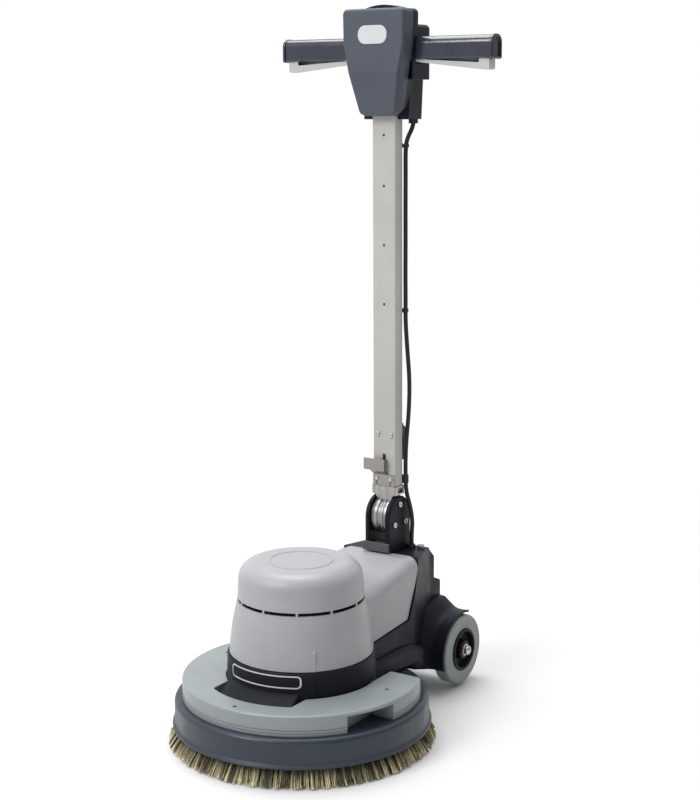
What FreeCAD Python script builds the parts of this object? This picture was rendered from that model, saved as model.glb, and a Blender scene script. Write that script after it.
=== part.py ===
import FreeCAD, Part
import math
import os

# Rotary floor machine with a 450 mm scrubbing brush, in millimetres.
# Origin: on the floor, below the brush spindle. -Y is the front, +Z is up.

Vector = FreeCAD.Vector
UP = Vector(0, 0, 1)
SIDE = Vector(1, 0, 0)
BACK = Vector(0, 1, 0)
MIDDLE = Vector(0, 0, 0)
SIDES = (-1, 1)

# Limits for cuts that go right through
ACROSS_ALL = (-300.0, 300.0)
ALL_HEIGHTS = (0.0, 400.0)

# Clearances
RUNNING_GAP = 0.06
LOOSE_GAP = 0.3

# Brush
BRUSH_RADIUS = 222.0
BRUSH_ROOT_RADIUS = 199.0
BRUSH_BORE_RADIUS = 96.0
BLOCK_RADIUS = 200.0
BLOCK_Z = (33.0, 52.0)
BLOCK_HOLE_RADIUS = 42.0
DRIVE_PLATE_RADIUS = 88.0
DRIVE_PLATE_Z = (52.0, 57.0)

# Deck
DECK_RADIUS = 210.0
DECK_FLANGE_RADIUS = 214.0
DECK_WALL = 3.5
DECK_Z = (30.0, 77.0)
DECK_HOLE_RADIUS = 69.0
FOOT_BORE = 102.0
DECK_SHOULDER = 8.0
FLANGE_THICKNESS = 7.0

# Stabiliser weight
WEIGHT_RADIUS = 196.7
WEIGHT_Z = (DECK_Z[1], 110.0)
WEIGHT_INNER_RADIUS = 125.0
WEIGHT_REAR_Y = 80.0
WEIGHT_REAR_HALF_GAP = 123.0
NOTCH_HALF_WIDTH = 77.0
NOTCH_RADIUS = 158.0
HAND_HOLD_X = 152.0
HAND_HOLD_Y = (-110.0, -27.0)
HAND_HOLD_TOP = 104.0
RIM_GROOVES_Z = (81.5, 86.0)
RIM_GROOVE = 0.8
SCREW_HOLE_RADIUS = 2.6
WEIGHT_SCREWS = ((0.0, -181.6), (161.0, 8.0), (-161.0, 8.0))

# Chassis and cover
BAND_RADIUS = 121.5
BAND_BORE = 116.5
BAND_TOP = 151.0
FASCIA_RADIUS = 123.0
FASCIA_HALF_ANGLE = 45.0
FASCIA_DRAFT = 1.5
FASCIA_Z = (DECK_Z[1] + 5, BAND_TOP - 1)
BADGE_X = (-60.0, 71.0)
BADGE_Z = (126.5, 147.5)
BADGE_BORDER = 2.2
BADGE_THICKNESS = 0.6
COVER_WALL = 3.0
COVER_Z = (152.0, 301.0)
COVER_BASE_RADIUS = 118.5
SLOT_Z = (238.5, 244.0)
SLOT_PITCH = 31.5
SLOT_RIB_ANGLE = 2.0
SLOTS = 8
EMBLEM_RADII = (50.0, 53.0)
EMBLEM_HEIGHT = 0.7
LOCATOR_HEIGHT = 34.0
FAIRING_HALF_WIDTH = 80.0
CHASSIS_HALF_WIDTH = 83.0
SILL_HALF_WIDTH = 92.0
TOWER_HALF_WIDTH = 50.0
TOWER_TOP = 256.0
BOLT_CIRCLE_RADIUS = 108.5
GEARBOX_BOLT_RADIUS = 92.0
BOLT_HOLE_RADIUS = 4.3

# Tilt pivot of the handle
PIVOT_Y = 267.0
PIVOT_Z = 318.0
EAR_RADIUS = 36.5
EAR_INNER_X = 17.0
EAR_OUTER_X = 25.0
DRUM_RADIUS = 26.0
KNUCKLE_RADIUS = 33.0
KNUCKLE_HALF_WIDTH = 16.2
EAR_SCREW_RADIUS = 21.5
EAR_SCREW_ANGLES = (-35.0, 90.0, 215.0)
LOCK_NOTCH_ANGLES = (90.0, 65.0, 55.0, 45.0, 35.0)

# Wheels
AXLE_Y = 341.0
AXLE_Z = 68.0
AXLE_RADIUS = 8.0
STUD_RADIUS = 5.0
WHEEL_RADIUS = 62.5
WHEEL_X = (86.0, 113.0)
TYRE_INNER_RADIUS = 38.0
GUARD_RADIUS = 70.0
GUARD_WALL = 3.0
GUARD_END_X = 112.0
GUARD_BOTTOM = 46.0
CHASSIS_REAR_Y = 362.0

# Motor and gearbox
STATOR_Z = (152.0, 212.0)
STATOR_RADIUS = 78.0
STATOR_BORE = 46.0
STATOR_SLOTS = 24
ROTOR_RADIUS = 45.5
SHAFT_RADIUS = 10.0
FRAME_RADIUS = 84.0
GEAR_MODULE = 1.1
PRESSURE_ANGLE = 25.0
SUN_TEETH = 12
PLANET_TEETH = 45
RING_TEETH = 102
PLANETS = 3
ADDENDUM = 0.85
DEDENDUM = 1.2
BACKLASH = 0.3
PLANET_DISTANCE = GEAR_MODULE * (SUN_TEETH + PLANET_TEETH) / 2
PLANET_Z = (91.5, 106.5)
OUTPUT_SHAFT_RADIUS = 17.5
PIN_RADIUS = 6.0

# Handle tube
TUBE_HALF_X = 23.0
TUBE_HALF_Y = 12.0
TUBE_WALL = 2.0
TUBE_Y = 268.0
TUBE_Z = (372.0, 1098.0)
TUBE_HOLES_Z = (692.0, 793.0, 893.0, 978.0)
TUBE_SCREW_Z = 464.0
TUBE_SCREW_X = 13.5
SLOT_HOLE_Z = 417.0

# Release lever
RELEASE_TRAVEL = 8.0
RELEASE_STUD_Z = 385.0
RELEASE_STUD_X = 14.0
PIN_SLOT_Z = (SLOT_HOLE_Z - 4.5, SLOT_HOLE_Z + 4.5 + RELEASE_TRAVEL)
PAWL_HALF = 5.0
SPRING_SEAT_Z = 459.0

# Operator head and grips
HEAD_FRONT_Y = 221.0
HEAD_SPLIT_Y = 252.0
HEAD_HALF_WIDTH = 60.0
HEAD_WALL = 3.0
HEAD_TOP = 1184.0
HEAD_CROWN = 1191.0
HEAD_BOTTOM = 1010.0
HEAD_FOOT_RADIUS = 22.0
BLOCK_BACK_Y = 310.0
REAR_BLOCK_Z = (1069.0, 1159.0)
GRIP_Y = 271.0
GRIP_HALF_Y = 15.0
GRIP_Z = (1102.0, 1139.0)
GRIP_X = (62.0, 206.0)
BAR_RADIUS = 10.0
BAR_Z = 1126.0
BAR_END_X = 194.0
TRIGGER_PIVOT_X = 69.0
TRIGGER_PIVOT_Z = 1106.0
TRIGGER_PIN_RADIUS = 2.5
TRIGGER_PIN_Y = (GRIP_Y - 13.5, GRIP_Y + 13.5)
TRIGGER_HALF_Y = 10.0
TRIGGER_END_X = 197.0

# Motor cable, outer diameter and the points of its route
CABLE_DIAMETER = 7.5
CABLE_UPPER_ROUTE = (
    (34.0, 297.0, 1044.0),
    (34.0, 297.2, 994.0),
    (26.2, 287.0, 970.0),
    (25.0, 285.4, 950.0),
    (25.4, 285.0, 906.0),
    (25.0, 285.3, 852.0),
    (25.4, 285.0, 796.0),
    (25.0, 285.2, 742.0),
    (25.3, 285.4, 700.0),
    (25.4, 285.0, 660.0),
    (27.6, 287.4, 612.0),
    (30.4, 290.6, 558.0),
    (29.4, 290.4, 504.0),
    (25.6, 287.2, 448.0),
    (25.2, 285.4, 404.0),
    (25.8, 285.8, 374.0),
)
CABLE_FLEX_ROUTE = (
    (25.8, 285.8, 374.0),
    (26.1, 286.0, 359.0),
    (33.0, 289.0, 333.0),
    (36.4, 291.4, 306.0),
    (33.5, 293.0, 281.0),
    (33.5, 293.0, 262.0),
)
CABLE_LOWER_ROUTE = (
    (33.5, 293.0, 262.0),
    (33.5, 293.0, 238.0),
    (33.0, 302.0, 222.0),
)
CABLE_TIES = ((2, 960.0, 5.0), (8, 680.0, 5.0), (14, 382.0, 14.0))
BASE_GLAND_AT = (33.5, 293.0)
HEAD_GLAND_AT = (33.5, 296.5)
MAINS_GLAND_AT = (-26.0, 297.0)
TOWER_BOLT_AT = (48.0, 300.0)


# ---------------------------------------------------------------- shape helpers


def box(x, y, z):
    """A block between two limits along each axis."""
    return Part.makeBox(x[1] - x[0], y[1] - y[0], z[1] - z[0], Vector(x[0], y[0], z[0]))


def upright(radius, z, at=(0.0, 0.0)):
    """A vertical cylinder."""
    return Part.makeCylinder(radius, z[1] - z[0], Vector(at[0], at[1], z[0]), UP)


def across(radius, x, y, z):
    """A cylinder along X."""
    return Part.makeCylinder(radius, x[1] - x[0], Vector(x[0], y, z), SIDE)


def along_y(radius, y, x, z):
    """A cylinder along Y."""
    return Part.makeCylinder(radius, y[1] - y[0], Vector(x, y[0], z), BACK)


def outline(points, radii):
    """A closed wire through points, with each corner rounded by a tangent arc."""
    count = len(points)
    if not isinstance(radii, (list, tuple)):
        radii = [radii] * count
    edges = []
    starts = []
    ends = []
    for i in range(count):
        corner = points[i]
        if radii[i] <= 0:
            starts.append(corner)
            ends.append(corner)
            continue
        to_last = (points[i - 1] - corner).normalize()
        to_next = (points[(i + 1) % count] - corner).normalize()
        half = to_last.getAngle(to_next) / 2
        starts.append(corner + to_last * (radii[i] / math.tan(half)))
        ends.append(corner + to_next * (radii[i] / math.tan(half)))
    for i in range(count):
        if radii[i] > 0:
            corner = points[i]
            to_middle = (starts[i] + ends[i]) * 0.5 - corner
            half = (starts[i] - corner).getAngle(ends[i] - corner) / 2
            reach = radii[i] / math.sin(half) - radii[i]
            middle = corner + to_middle.normalize() * reach
            edges.append(Part.Arc(starts[i], middle, ends[i]).toShape())
        following = starts[(i + 1) % count]
        if ends[i].distanceToPoint(following) > 1e-6:
            edges.append(Part.LineSegment(ends[i], following).toShape())
    return Part.Wire(edges)


def slab_x(points, x, radii=0):
    """An outline in Y and Z, extruded across X."""
    wire = outline([Vector(x[0], p[0], p[1]) for p in points], radii)
    return Part.Face(wire).extrude(Vector(x[1] - x[0], 0, 0))


def slab_y(points, y, radii=0):
    """An outline in X and Z, extruded along Y."""
    wire = outline([Vector(p[0], y[0], p[1]) for p in points], radii)
    return Part.Face(wire).extrude(Vector(0, y[1] - y[0], 0))


def slab_z(points, z, radii=0):
    """An outline in X and Y, extruded upwards."""
    wire = outline([Vector(p[0], p[1], z[0]) for p in points], radii)
    return Part.Face(wire).extrude(Vector(0, 0, z[1] - z[0]))


def turned(points, radii=0):
    """An outline of radius and height, turned about the brush spindle."""
    wire = outline([Vector(p[0], 0, p[1]) for p in points], radii)
    return Part.Face(wire).revolve(MIDDLE, UP, 360)


def turned_across(points, y, z, radii=0):
    """An outline of X and radius, turned about a line along X."""
    wire = outline([Vector(p[0], y, z + p[1]) for p in points], radii)
    return Part.Face(wire).revolve(Vector(0, y, z), SIDE, 360)


def join(shapes):
    """One solid from several that overlap."""
    return shapes[0].multiFuse(shapes[1:]).removeSplitter()


def together(*shapes):
    """Separate solids of one finish, kept side by side."""
    return Part.makeCompound([solid for shape in shapes for solid in shape.Solids])


def mirrored(shape):
    """The same shape on the other side of the machine."""
    return shape.mirror(MIDDLE, SIDE)


def spun(shape, degrees, at=(0.0, 0.0)):
    """A copy turned about a vertical line."""
    turned_copy = shape.copy()
    turned_copy.rotate(Vector(at[0], at[1], 0), UP, degrees)
    return turned_copy


def pivoted(shape, degrees):
    """A copy turned about the tilt pivot, from +Y towards +Z."""
    turned_copy = shape.copy()
    turned_copy.rotate(Vector(0, PIVOT_Y, PIVOT_Z), SIDE, degrees)
    return turned_copy


def rounded(shape, radius, wanted):
    """Rounds each edge of the shape that wanted(edge) picks."""
    return shape.makeFillet(radius, [edge for edge in shape.Edges if wanted(edge)])


def screw(head_radius, head_height, shank_radius, shank_length, place, direction):
    """A pan-head screw: place is under the head, direction points out of the head."""
    head = Part.makeCylinder(head_radius, head_height, place, direction)
    rim = [edge for edge in head.Edges if edge.CenterOfMass.distanceToPoint(place) > head_height / 2]
    head = head.makeFillet(head_height * 0.45, rim)
    recess_base = place + direction * (head_height * 0.55)
    recess = Part.makeCylinder(head_radius * 0.35, head_height, recess_base, direction)
    shank = Part.makeCylinder(shank_radius, shank_length, place - direction * shank_length, direction)
    return join([head.cut(recess), shank])


def cable(route):
    """A round cable along straight runs joined by tangent arcs."""
    points = [Vector(*p) for p in route]
    edges = []
    radii = []
    last = points[0]
    for i in range(1, len(points) - 1):
        before = points[i - 1] - points[i]
        after = points[i + 1] - points[i]
        turn = math.pi - before.getAngle(after)
        setback = 0.45 * min(before.Length, after.Length)
        radius = setback / math.tan(turn / 2)
        radii.append(radius)
        start = points[i] + before.normalize() * setback
        end = points[i] + after.normalize() * setback
        bisector = (before + after).normalize()
        middle = points[i] + bisector * (radius / math.cos(turn / 2) - radius)
        edges.append(Part.LineSegment(last, start).toShape())
        edges.append(Part.Arc(start, middle, end).toShape())
        last = end
    edges.append(Part.LineSegment(last, points[-1]).toShape())
    path = Part.Wire(edges)
    direction = points[1] - points[0]
    section = Part.Wire(Part.makeCircle(CABLE_DIAMETER / 2, points[0], direction))
    solid = path.makePipeShell([section], True, False)
    ideal = math.pi * (CABLE_DIAMETER / 2) ** 2 * path.Length
    print("cable: length %.1f, volume against section %.4f" % (path.Length, solid.Volume / ideal))
    print("cable: bend radii " + ", ".join("%.0f" % r for r in radii))
    return solid


def coil(radius, wire_radius, turns, z, at):
    """A round-wire compression spring, upright."""
    height = z[1] - z[0] - 2 * wire_radius
    helix = Part.makeHelix(height / turns, height, radius)
    start = Part.Wire(Part.makeCircle(wire_radius, Vector(radius, 0, 0), BACK))
    spring = Part.Wire(helix.Edges).makePipeShell([start], True, True)
    spring.translate(Vector(at[0], at[1], z[0] + wire_radius))
    return spring


# ---------------------------------------------------------------- brush


def bristle_ring():
    """The scrubbing fill: it flares from the block to the floor."""
    points = (
        (BRUSH_BORE_RADIUS, 0),
        (BRUSH_RADIUS, 0),
        (BRUSH_RADIUS - 9, 16),
        (BRUSH_ROOT_RADIUS, BLOCK_Z[0]),
        (BRUSH_BORE_RADIUS + 10, BLOCK_Z[0]),
    )
    return turned(points)


def brush_block():
    """The disc that carries the fill."""
    inner, outer = BLOCK_HOLE_RADIUS, BLOCK_RADIUS
    low, high = BLOCK_Z
    return turned(((inner, low), (outer, low), (outer, high), (inner, high)), (0, 2, 4, 0))


def drive_plate():
    """The flanged plate on the output shaft, with three lugs that enter the block."""
    plate = upright(DRIVE_PLATE_RADIUS, DRIVE_PLATE_Z)
    hub = upright(32.0, (BLOCK_Z[0] + 5, DRIVE_PLATE_Z[1]))
    bore = upright(OUTPUT_SHAFT_RADIUS, (0, 80))
    return join([plate, hub]).cut(bore)


def output_shaft():
    """The shaft from the planet carrier to the drive plate."""
    shaft = upright(OUTPUT_SHAFT_RADIUS - RUNNING_GAP, (DRIVE_PLATE_Z[1], 82.0))
    seat = upright(OUTPUT_SHAFT_RADIUS, (BLOCK_Z[0] + 8, DRIVE_PLATE_Z[1]))
    bolt_head = upright(13.0, (BLOCK_Z[0] + 1, BLOCK_Z[0] + 5))
    bolt_neck = upright(6.0, (BLOCK_Z[0] + 5, BLOCK_Z[0] + 8))
    return join([shaft, seat, bolt_head, bolt_neck])


def planet_carrier():
    """The plate that the planets turn on, with its pins."""
    plate = upright(46.0, (82.0, 89.0))
    pieces = [plate]
    for i in range(PLANETS):
        pin = upright(PIN_RADIUS, (89.0, 108.0), (PLANET_DISTANCE, 0))
        boss = upright(PIN_RADIUS + 3, (89.0, 91.0), (PLANET_DISTANCE, 0))
        pieces.append(spun(join([pin, boss]), 360.0 * i / PLANETS))
    return join(pieces)


# ---------------------------------------------------------------- gears


def involute(angle):
    return math.tan(angle) - angle


def flank(teeth, thickness, inner, outer):
    """Radius and half angle of a tooth's flank at three places, from the inside out."""
    pitch = GEAR_MODULE * teeth / 2
    pressure = math.radians(PRESSURE_ANGLE)
    base = pitch * math.cos(pressure)
    half_at_pitch = thickness / (2 * pitch) + involute(pressure)
    places = []
    for radius in (inner, pitch, outer):
        local = math.acos(min(1.0, base / max(radius, base)))
        places.append((radius, half_at_pitch - involute(local)))
    return places


def toothed_outline(teeth, thickness, inner, outer, phase):
    """A gear's polygon: each tooth has straight flanks through three places."""
    points = []
    places = flank(teeth, thickness, inner, outer)
    for i in range(teeth):
        centre = phase + 2 * math.pi * i / teeth
        for radius, half in places:
            points.append((radius * math.cos(centre - half), radius * math.sin(centre - half)))
        for radius, half in reversed(places):
            points.append((radius * math.cos(centre + half), radius * math.sin(centre + half)))
    return points


def external_gear(teeth, z, phase):
    pitch = GEAR_MODULE * teeth / 2
    thickness = math.pi * GEAR_MODULE / 2 - BACKLASH / 2
    inner = pitch - DEDENDUM * GEAR_MODULE
    outer = pitch + ADDENDUM * GEAR_MODULE
    return slab_z(toothed_outline(teeth, thickness, inner, outer, phase), z)


def ring_gear():
    """The fixed internal gear: its tooth spaces are cut from a plain ring."""
    pitch = GEAR_MODULE * RING_TEETH / 2
    space = math.pi * GEAR_MODULE / 2 + BACKLASH / 2
    inner = pitch - ADDENDUM * GEAR_MODULE
    outer = pitch + DEDENDUM * GEAR_MODULE
    z = (PLANET_Z[0] - 2, PLANET_Z[1] + 2)
    hole = slab_z(toothed_outline(RING_TEETH, space, inner, outer, 0.0), z)
    return upright(62.0 - RUNNING_GAP, z).cut(hole)


def planet_gear(index):
    """A planet, turned so that its teeth meet the ring's spaces."""
    gear = external_gear(PLANET_TEETH, PLANET_Z, 0.0)
    bore = upright(PIN_RADIUS + RUNNING_GAP, (80, 120))
    gear = gear.cut(bore)
    gear.translate(Vector(PLANET_DISTANCE, 0, 0))
    place = 360.0 * index / PLANETS
    gear = spun(gear, place)
    centre_angle = math.radians(place)
    centre = (PLANET_DISTANCE * math.cos(centre_angle), PLANET_DISTANCE * math.sin(centre_angle))
    ring_space_step = 360.0 / RING_TEETH
    offset = place % ring_space_step
    return spun(gear, -offset * RING_TEETH / PLANET_TEETH, centre)


# ---------------------------------------------------------------- motor


def rotor_shaft():
    """The motor shaft with its twelve-tooth pinion."""
    pinion = external_gear(SUN_TEETH, (PLANET_Z[0], PLANET_Z[1] + 1), 0.0)
    neck = upright(5.0, (PLANET_Z[1] + 1, 112.0))
    shaft = upright(SHAFT_RADIUS - RUNNING_GAP, (112.0, 250.0))
    tail = upright(SHAFT_RADIUS, (250.0, 268.0))
    core_seat = upright(SHAFT_RADIUS + 3, (STATOR_Z[0] - 12, STATOR_Z[1] + 12))
    return join([pinion, neck, shaft, tail, core_seat])


def rotor_core():
    core = upright(ROTOR_RADIUS, STATOR_Z).cut(upright(SHAFT_RADIUS + 3, STATOR_Z))
    end_ring = upright(ROTOR_RADIUS - 2, (STATOR_Z[0] - 6, STATOR_Z[0]))
    end_ring = end_ring.cut(upright(ROTOR_RADIUS - 14, (0, 300)))
    top_ring = end_ring.copy()
    top_ring.translate(Vector(0, 0, STATOR_Z[1] - STATOR_Z[0] + 6))
    return join([core, end_ring, top_ring])


def stator_core():
    """The lamination stack, with winding slots round its bore."""
    core = upright(STATOR_RADIUS, STATOR_Z).cut(upright(STATOR_BORE, STATOR_Z))
    slot = box((STATOR_BORE - 1, STATOR_BORE + 15), (-3, 3), STATOR_Z)
    return core.cut(Part.makeCompound([spun(slot, 360.0 * i / STATOR_SLOTS) for i in range(STATOR_SLOTS)]))


def stator_winding():
    """The two rings of coil ends."""
    heads = []
    for z in ((STATOR_Z[0] - 17, STATOR_Z[0]), (STATOR_Z[1], STATOR_Z[1] + 17)):
        heads.append(turned(((50, z[0]), (70, z[0]), (70, z[1]), (50, z[1])), 6))
    return Part.makeCompound(heads)


def motor_frame():
    """The finned motor frame with the bearing seats."""
    shell = upright(FRAME_RADIUS, (114.0, 246.0))
    shell = shell.cut(upright(STATOR_RADIUS, (120.0, 240.0)))
    seats = join([upright(30.0, (118.0, 130.0)), upright(30.0, (230.0, 242.0))])
    fin = box((FRAME_RADIUS - 2, FRAME_RADIUS + 8), (-1.5, 1.5), (130.0, 236.0))
    fins = [spun(fin, 22.5 * i) for i in range(16)]
    frame = join([shell, seats] + fins)
    frame = frame.cut(upright(SHAFT_RADIUS + 3, (100, 260)))
    return frame.cut(Part.makeCompound([upright(23.5, (114.0, 128.0)), upright(23.5, (232.0, 246.0))]))


def ball_bearing(outer, inner, z):
    return upright(outer, z).cut(upright(inner, z))


def ball_bearings():
    """Two motor bearings and the output bearing."""
    return Part.makeCompound(
        [
            ball_bearing(23.5, SHAFT_RADIUS, (114.0, 128.0)),
            ball_bearing(23.5, SHAFT_RADIUS, (232.0, 246.0)),
            ball_bearing(36.0, OUTPUT_SHAFT_RADIUS, (62.5, 79.5)),
        ]
    )


def cooling_fan():
    """The shaft's top fan: a hub, a back plate and eight blades."""
    hub = upright(18.0, (251.0, 267.0))
    plate = upright(64.0, (251.0, 253.0))
    blade = box((16, 62), (-1, 1), (252.0, 267.0))
    blades = [spun(blade, 45.0 * i) for i in range(8)]
    return join([hub, plate] + blades).cut(upright(SHAFT_RADIUS, (240, 280)))


def fan_cowl():
    """The dark cowl over the fan, seen through the cover's slots."""
    section = ((86, 247), (92, 247), (92, 277), (30, 277), (30, 274), (86, 274))
    return turned(section, (0, 0, 6, 0, 0, 3))


def gearbox_housing():
    """The cup that holds the gears and the output bearing, flanged to the deck."""
    cup = upright(68.0, (60.0, 114.0))
    low, high = DECK_Z[1], DECK_Z[1] + FLANGE_THICKNESS
    flange = turned(((60, low), (101, low), (101, high), (60, high)), (0, 0, 3, 0))
    housing = join([cup, flange]).cut(upright(62.0, (66.0, 114.0)))
    boss = upright(42.0, (60.0, 80.5))
    bearing_seat = upright(36.0, (62.5, 81.0))
    shaft_hole = upright(24.0, (59.0, 63.0))
    return join([housing, boss]).cut(bearing_seat).cut(shaft_hole).cut(bolt_holes())


# ---------------------------------------------------------------- deck, weight and bolts


def bolt_places():
    """Where the deck's bolts stand: the chassis foot, then the gearbox flange."""
    places = []
    for i in range(6):
        angle = math.radians(60.0 * i)
        places.append((BOLT_CIRCLE_RADIUS * math.cos(angle), BOLT_CIRCLE_RADIUS * math.sin(angle)))
    for i in range(4):
        angle = math.radians(90.0 * i + 45.0)
        places.append((GEARBOX_BOLT_RADIUS * math.cos(angle), GEARBOX_BOLT_RADIUS * math.sin(angle)))
    return places


def bolt_holes():
    return Part.makeCompound([upright(BOLT_HOLE_RADIUS, (60, 95), at) for at in bolt_places()])


def hex_bolt(at, under_head, shank):
    """A hexagon-head bolt, head up."""
    corners = []
    for i in range(6):
        angle = math.radians(60.0 * i)
        corners.append((at[0] + 7.5 * math.cos(angle), at[1] + 7.5 * math.sin(angle)))
    head = slab_z(corners, (under_head, under_head + 5.3))
    return join([head, upright(4.0, (under_head - shank, under_head), at)])


def chassis_bolts():
    """Ten deck bolts, and the one beside the cable gland."""
    bolts = [hex_bolt(at, DECK_Z[1] + FLANGE_THICKNESS, 16.0) for at in bolt_places()]
    bolts.append(hex_bolt(TOWER_BOLT_AT, TOWER_TOP, 16.0))
    return Part.makeCompound(bolts)


def deck_ring():
    """The pressed deck with its skirt."""
    inner_wall = DECK_RADIUS - DECK_WALL
    under = DECK_Z[1] - DECK_WALL
    points = (
        (inner_wall, DECK_Z[0]),
        (DECK_FLANGE_RADIUS, DECK_Z[0]),
        (DECK_FLANGE_RADIUS, DECK_Z[0] + 3.5),
        (DECK_RADIUS, DECK_Z[0] + 7),
        (DECK_RADIUS, DECK_Z[1]),
        (DECK_HOLE_RADIUS, DECK_Z[1]),
        (DECK_HOLE_RADIUS, under),
        (inner_wall, under),
    )
    deck = turned(points, (0.5, 1.2, 1, 2, DECK_SHOULDER, 0, 0, DECK_SHOULDER - DECK_WALL))
    screw_holes = [upright(SCREW_HOLE_RADIUS, (60, 90), at) for at in WEIGHT_SCREWS]
    return deck.cut(bolt_holes()).cut(Part.makeCompound(screw_holes))


def stabiliser_weight():
    """The C-shaped cast weight that lies on the deck round the motor."""
    x, y = WEIGHT_REAR_HALF_GAP, WEIGHT_REAR_Y
    plate = upright(WEIGHT_RADIUS, WEIGHT_Z)
    plate = rounded(plate, 4.0, lambda edge: edge.BoundBox.ZMin > WEIGHT_Z[1] - 0.1)
    rear_cut = box(ACROSS_ALL, (y, 300), ALL_HEIGHTS)
    middle = upright(WEIGHT_INNER_RADIUS, ALL_HEIGHTS)
    rear_gap = box((-x, x), (-20, 300), ALL_HEIGHTS)
    notch = box((-NOTCH_HALF_WIDTH, NOTCH_HALF_WIDTH), (-300, 0), ALL_HEIGHTS)
    notch = notch.common(upright(NOTCH_RADIUS, ALL_HEIGHTS))
    notch = rounded(notch, 6.0, lambda edge: edge.BoundBox.YMax < -120 and edge.BoundBox.ZLength > 50)
    holds = []
    for side in SIDES:
        span = sorted((side * HAND_HOLD_X, side * 300))
        holds.append(box(span, HAND_HOLD_Y, (0, HAND_HOLD_TOP)))
    holes = []
    for at in WEIGHT_SCREWS:
        holes.append(upright(SCREW_HOLE_RADIUS, ALL_HEIGHTS, at))
        holes.append(upright(3.6, (WEIGHT_Z[1] - 7, ALL_HEIGHTS[1]), at))
    weight = plate.cut(rear_cut).cut(join([middle, rear_gap, notch]))
    return weight.cut(Part.makeCompound(holds)).cut(Part.makeCompound(holes)).cut(rim_grooves())


def rim_grooves():
    """Fine turned lines round the lower rim of the weight."""
    grooves = []
    for z in RIM_GROOVES_Z:
        outer = upright(WEIGHT_RADIUS + 1, (z, z + RIM_GROOVE))
        grooves.append(outer.cut(upright(WEIGHT_RADIUS - RIM_GROOVE, (z, z + RIM_GROOVE))))
    return Part.makeCompound(grooves)


def weight_screws():
    """Three socket screws sunk in the weight."""
    screws = []
    for at in WEIGHT_SCREWS:
        head = upright(3.5, (WEIGHT_Z[1] - 7, WEIGHT_Z[1] - 3), at)
        socket = upright(1.6, (WEIGHT_Z[1] - 5, WEIGHT_Z[1]), at)
        shank = upright(2.5, (DECK_Z[1] - 6, WEIGHT_Z[1] - 7), at)
        screws.append(join([head.cut(socket), shank]))
    return Part.makeCompound(screws)


# ---------------------------------------------------------------- chassis


def chassis():
    """The dark structural moulding: motor band, ramp, rear housing and mudguards."""
    band = turned(
        (
            (FOOT_BORE, DECK_Z[1]),
            (BAND_RADIUS + 1.5, DECK_Z[1]),
            (BAND_RADIUS, BAND_TOP),
            (BAND_BORE, BAND_TOP),
            (BAND_BORE, DECK_Z[1] + FLANGE_THICKNESS),
            (FOOT_BORE, DECK_Z[1] + FLANGE_THICKNESS),
        ),
        (0, 1, 1.5, 1, 0, 0),
    )
    rear = chassis_rear_outside()
    motor_bay = upright(BAND_BORE, (DECK_Z[1] + FLANGE_THICKNESS, ALL_HEIGHTS[1]))
    motor_bay = join([motor_bay, upright(FOOT_BORE, ALL_HEIGHTS)])
    rear = join([rear, chassis_sill()]).cut(motor_bay)
    body = join([band, rear, chassis_fascia(), chassis_ramp()] + chassis_guards())
    body = body.cut(chassis_cavity())
    wells = []
    for side in SIDES:
        well_x = sorted((side * (WHEEL_X[0] - 3), side * 200))
        wells.append(across(GUARD_RADIUS - GUARD_WALL, well_x, AXLE_Y, AXLE_Z))
    body = body.cut(Part.makeCompound(wells))
    body = body.cut(across(AXLE_RADIUS, ACROSS_ALL, AXLE_Y, AXLE_Z))
    body = body.cut(upright(6.0, (TOWER_TOP - 30, TOWER_TOP + 5), BASE_GLAND_AT))
    body = body.cut(upright(BOLT_HOLE_RADIUS, (TOWER_TOP - 20, TOWER_TOP + 1), TOWER_BOLT_AT))
    return body.cut(bolt_holes())


def chassis_side(inset):
    """Side outline of the rear housing, drawn in by inset."""
    return (
        (60, DECK_Z[1] + inset),
        (212, DECK_Z[1] + inset),
        (262, GUARD_BOTTOM + inset),
        (CHASSIS_REAR_Y - inset, GUARD_BOTTOM + inset),
        (CHASSIS_REAR_Y - inset, 183 - inset),
        (338 - inset, 193 - inset),
        (338 - inset, 233 - inset),
        (312 - inset, TOWER_TOP - inset),
        (244 + inset / 2, TOWER_TOP - inset),
        (230.5 + inset, 214),
        (204.5 + inset / 2, 155 - inset),
        (104, 147.5 - inset),
        (60, 147.5 - inset),
    )


def chassis_rear_outside():
    side = slab_x(chassis_side(0), (-120, 120), (0, 4, 14, 6, 4, 2, 4, 6, 2, 8, 4, 0, 0))
    wide = CHASSIS_HALF_WIDTH
    plan = slab_z(
        (
            (-wide, 40),
            (wide, 40),
            (wide, 225),
            (TOWER_HALF_WIDTH + 4, 322),
            (TOWER_HALF_WIDTH, 400),
            (-TOWER_HALF_WIDTH, 400),
            (-TOWER_HALF_WIDTH - 4, 322),
            (-wide, 225),
        ),
        (0, 400),
        (0, 0, 40, 30, 0, 0, 30, 40),
    )
    return side.common(plan)


def chassis_cavity():
    """The space for the wiring and the capacitor, open to the motor bay."""
    side = slab_x(chassis_side(4.5), (-120, 120))
    wide = CHASSIS_HALF_WIDTH - 5
    narrow = TOWER_HALF_WIDTH - 4
    plan = slab_z(
        (
            (-wide, 90),
            (wide, 90),
            (wide, 222),
            (narrow, 318),
            (narrow, 400),
            (-narrow, 400),
            (-narrow, 318),
            (-wide, 222),
        ),
        (0, 400),
    )
    cavity = side.common(plan)
    beam = box((-130, 130), (AXLE_Y - 16, AXLE_Y + 30), (0, AXLE_Z + 16))
    return cavity.cut(beam)


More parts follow.
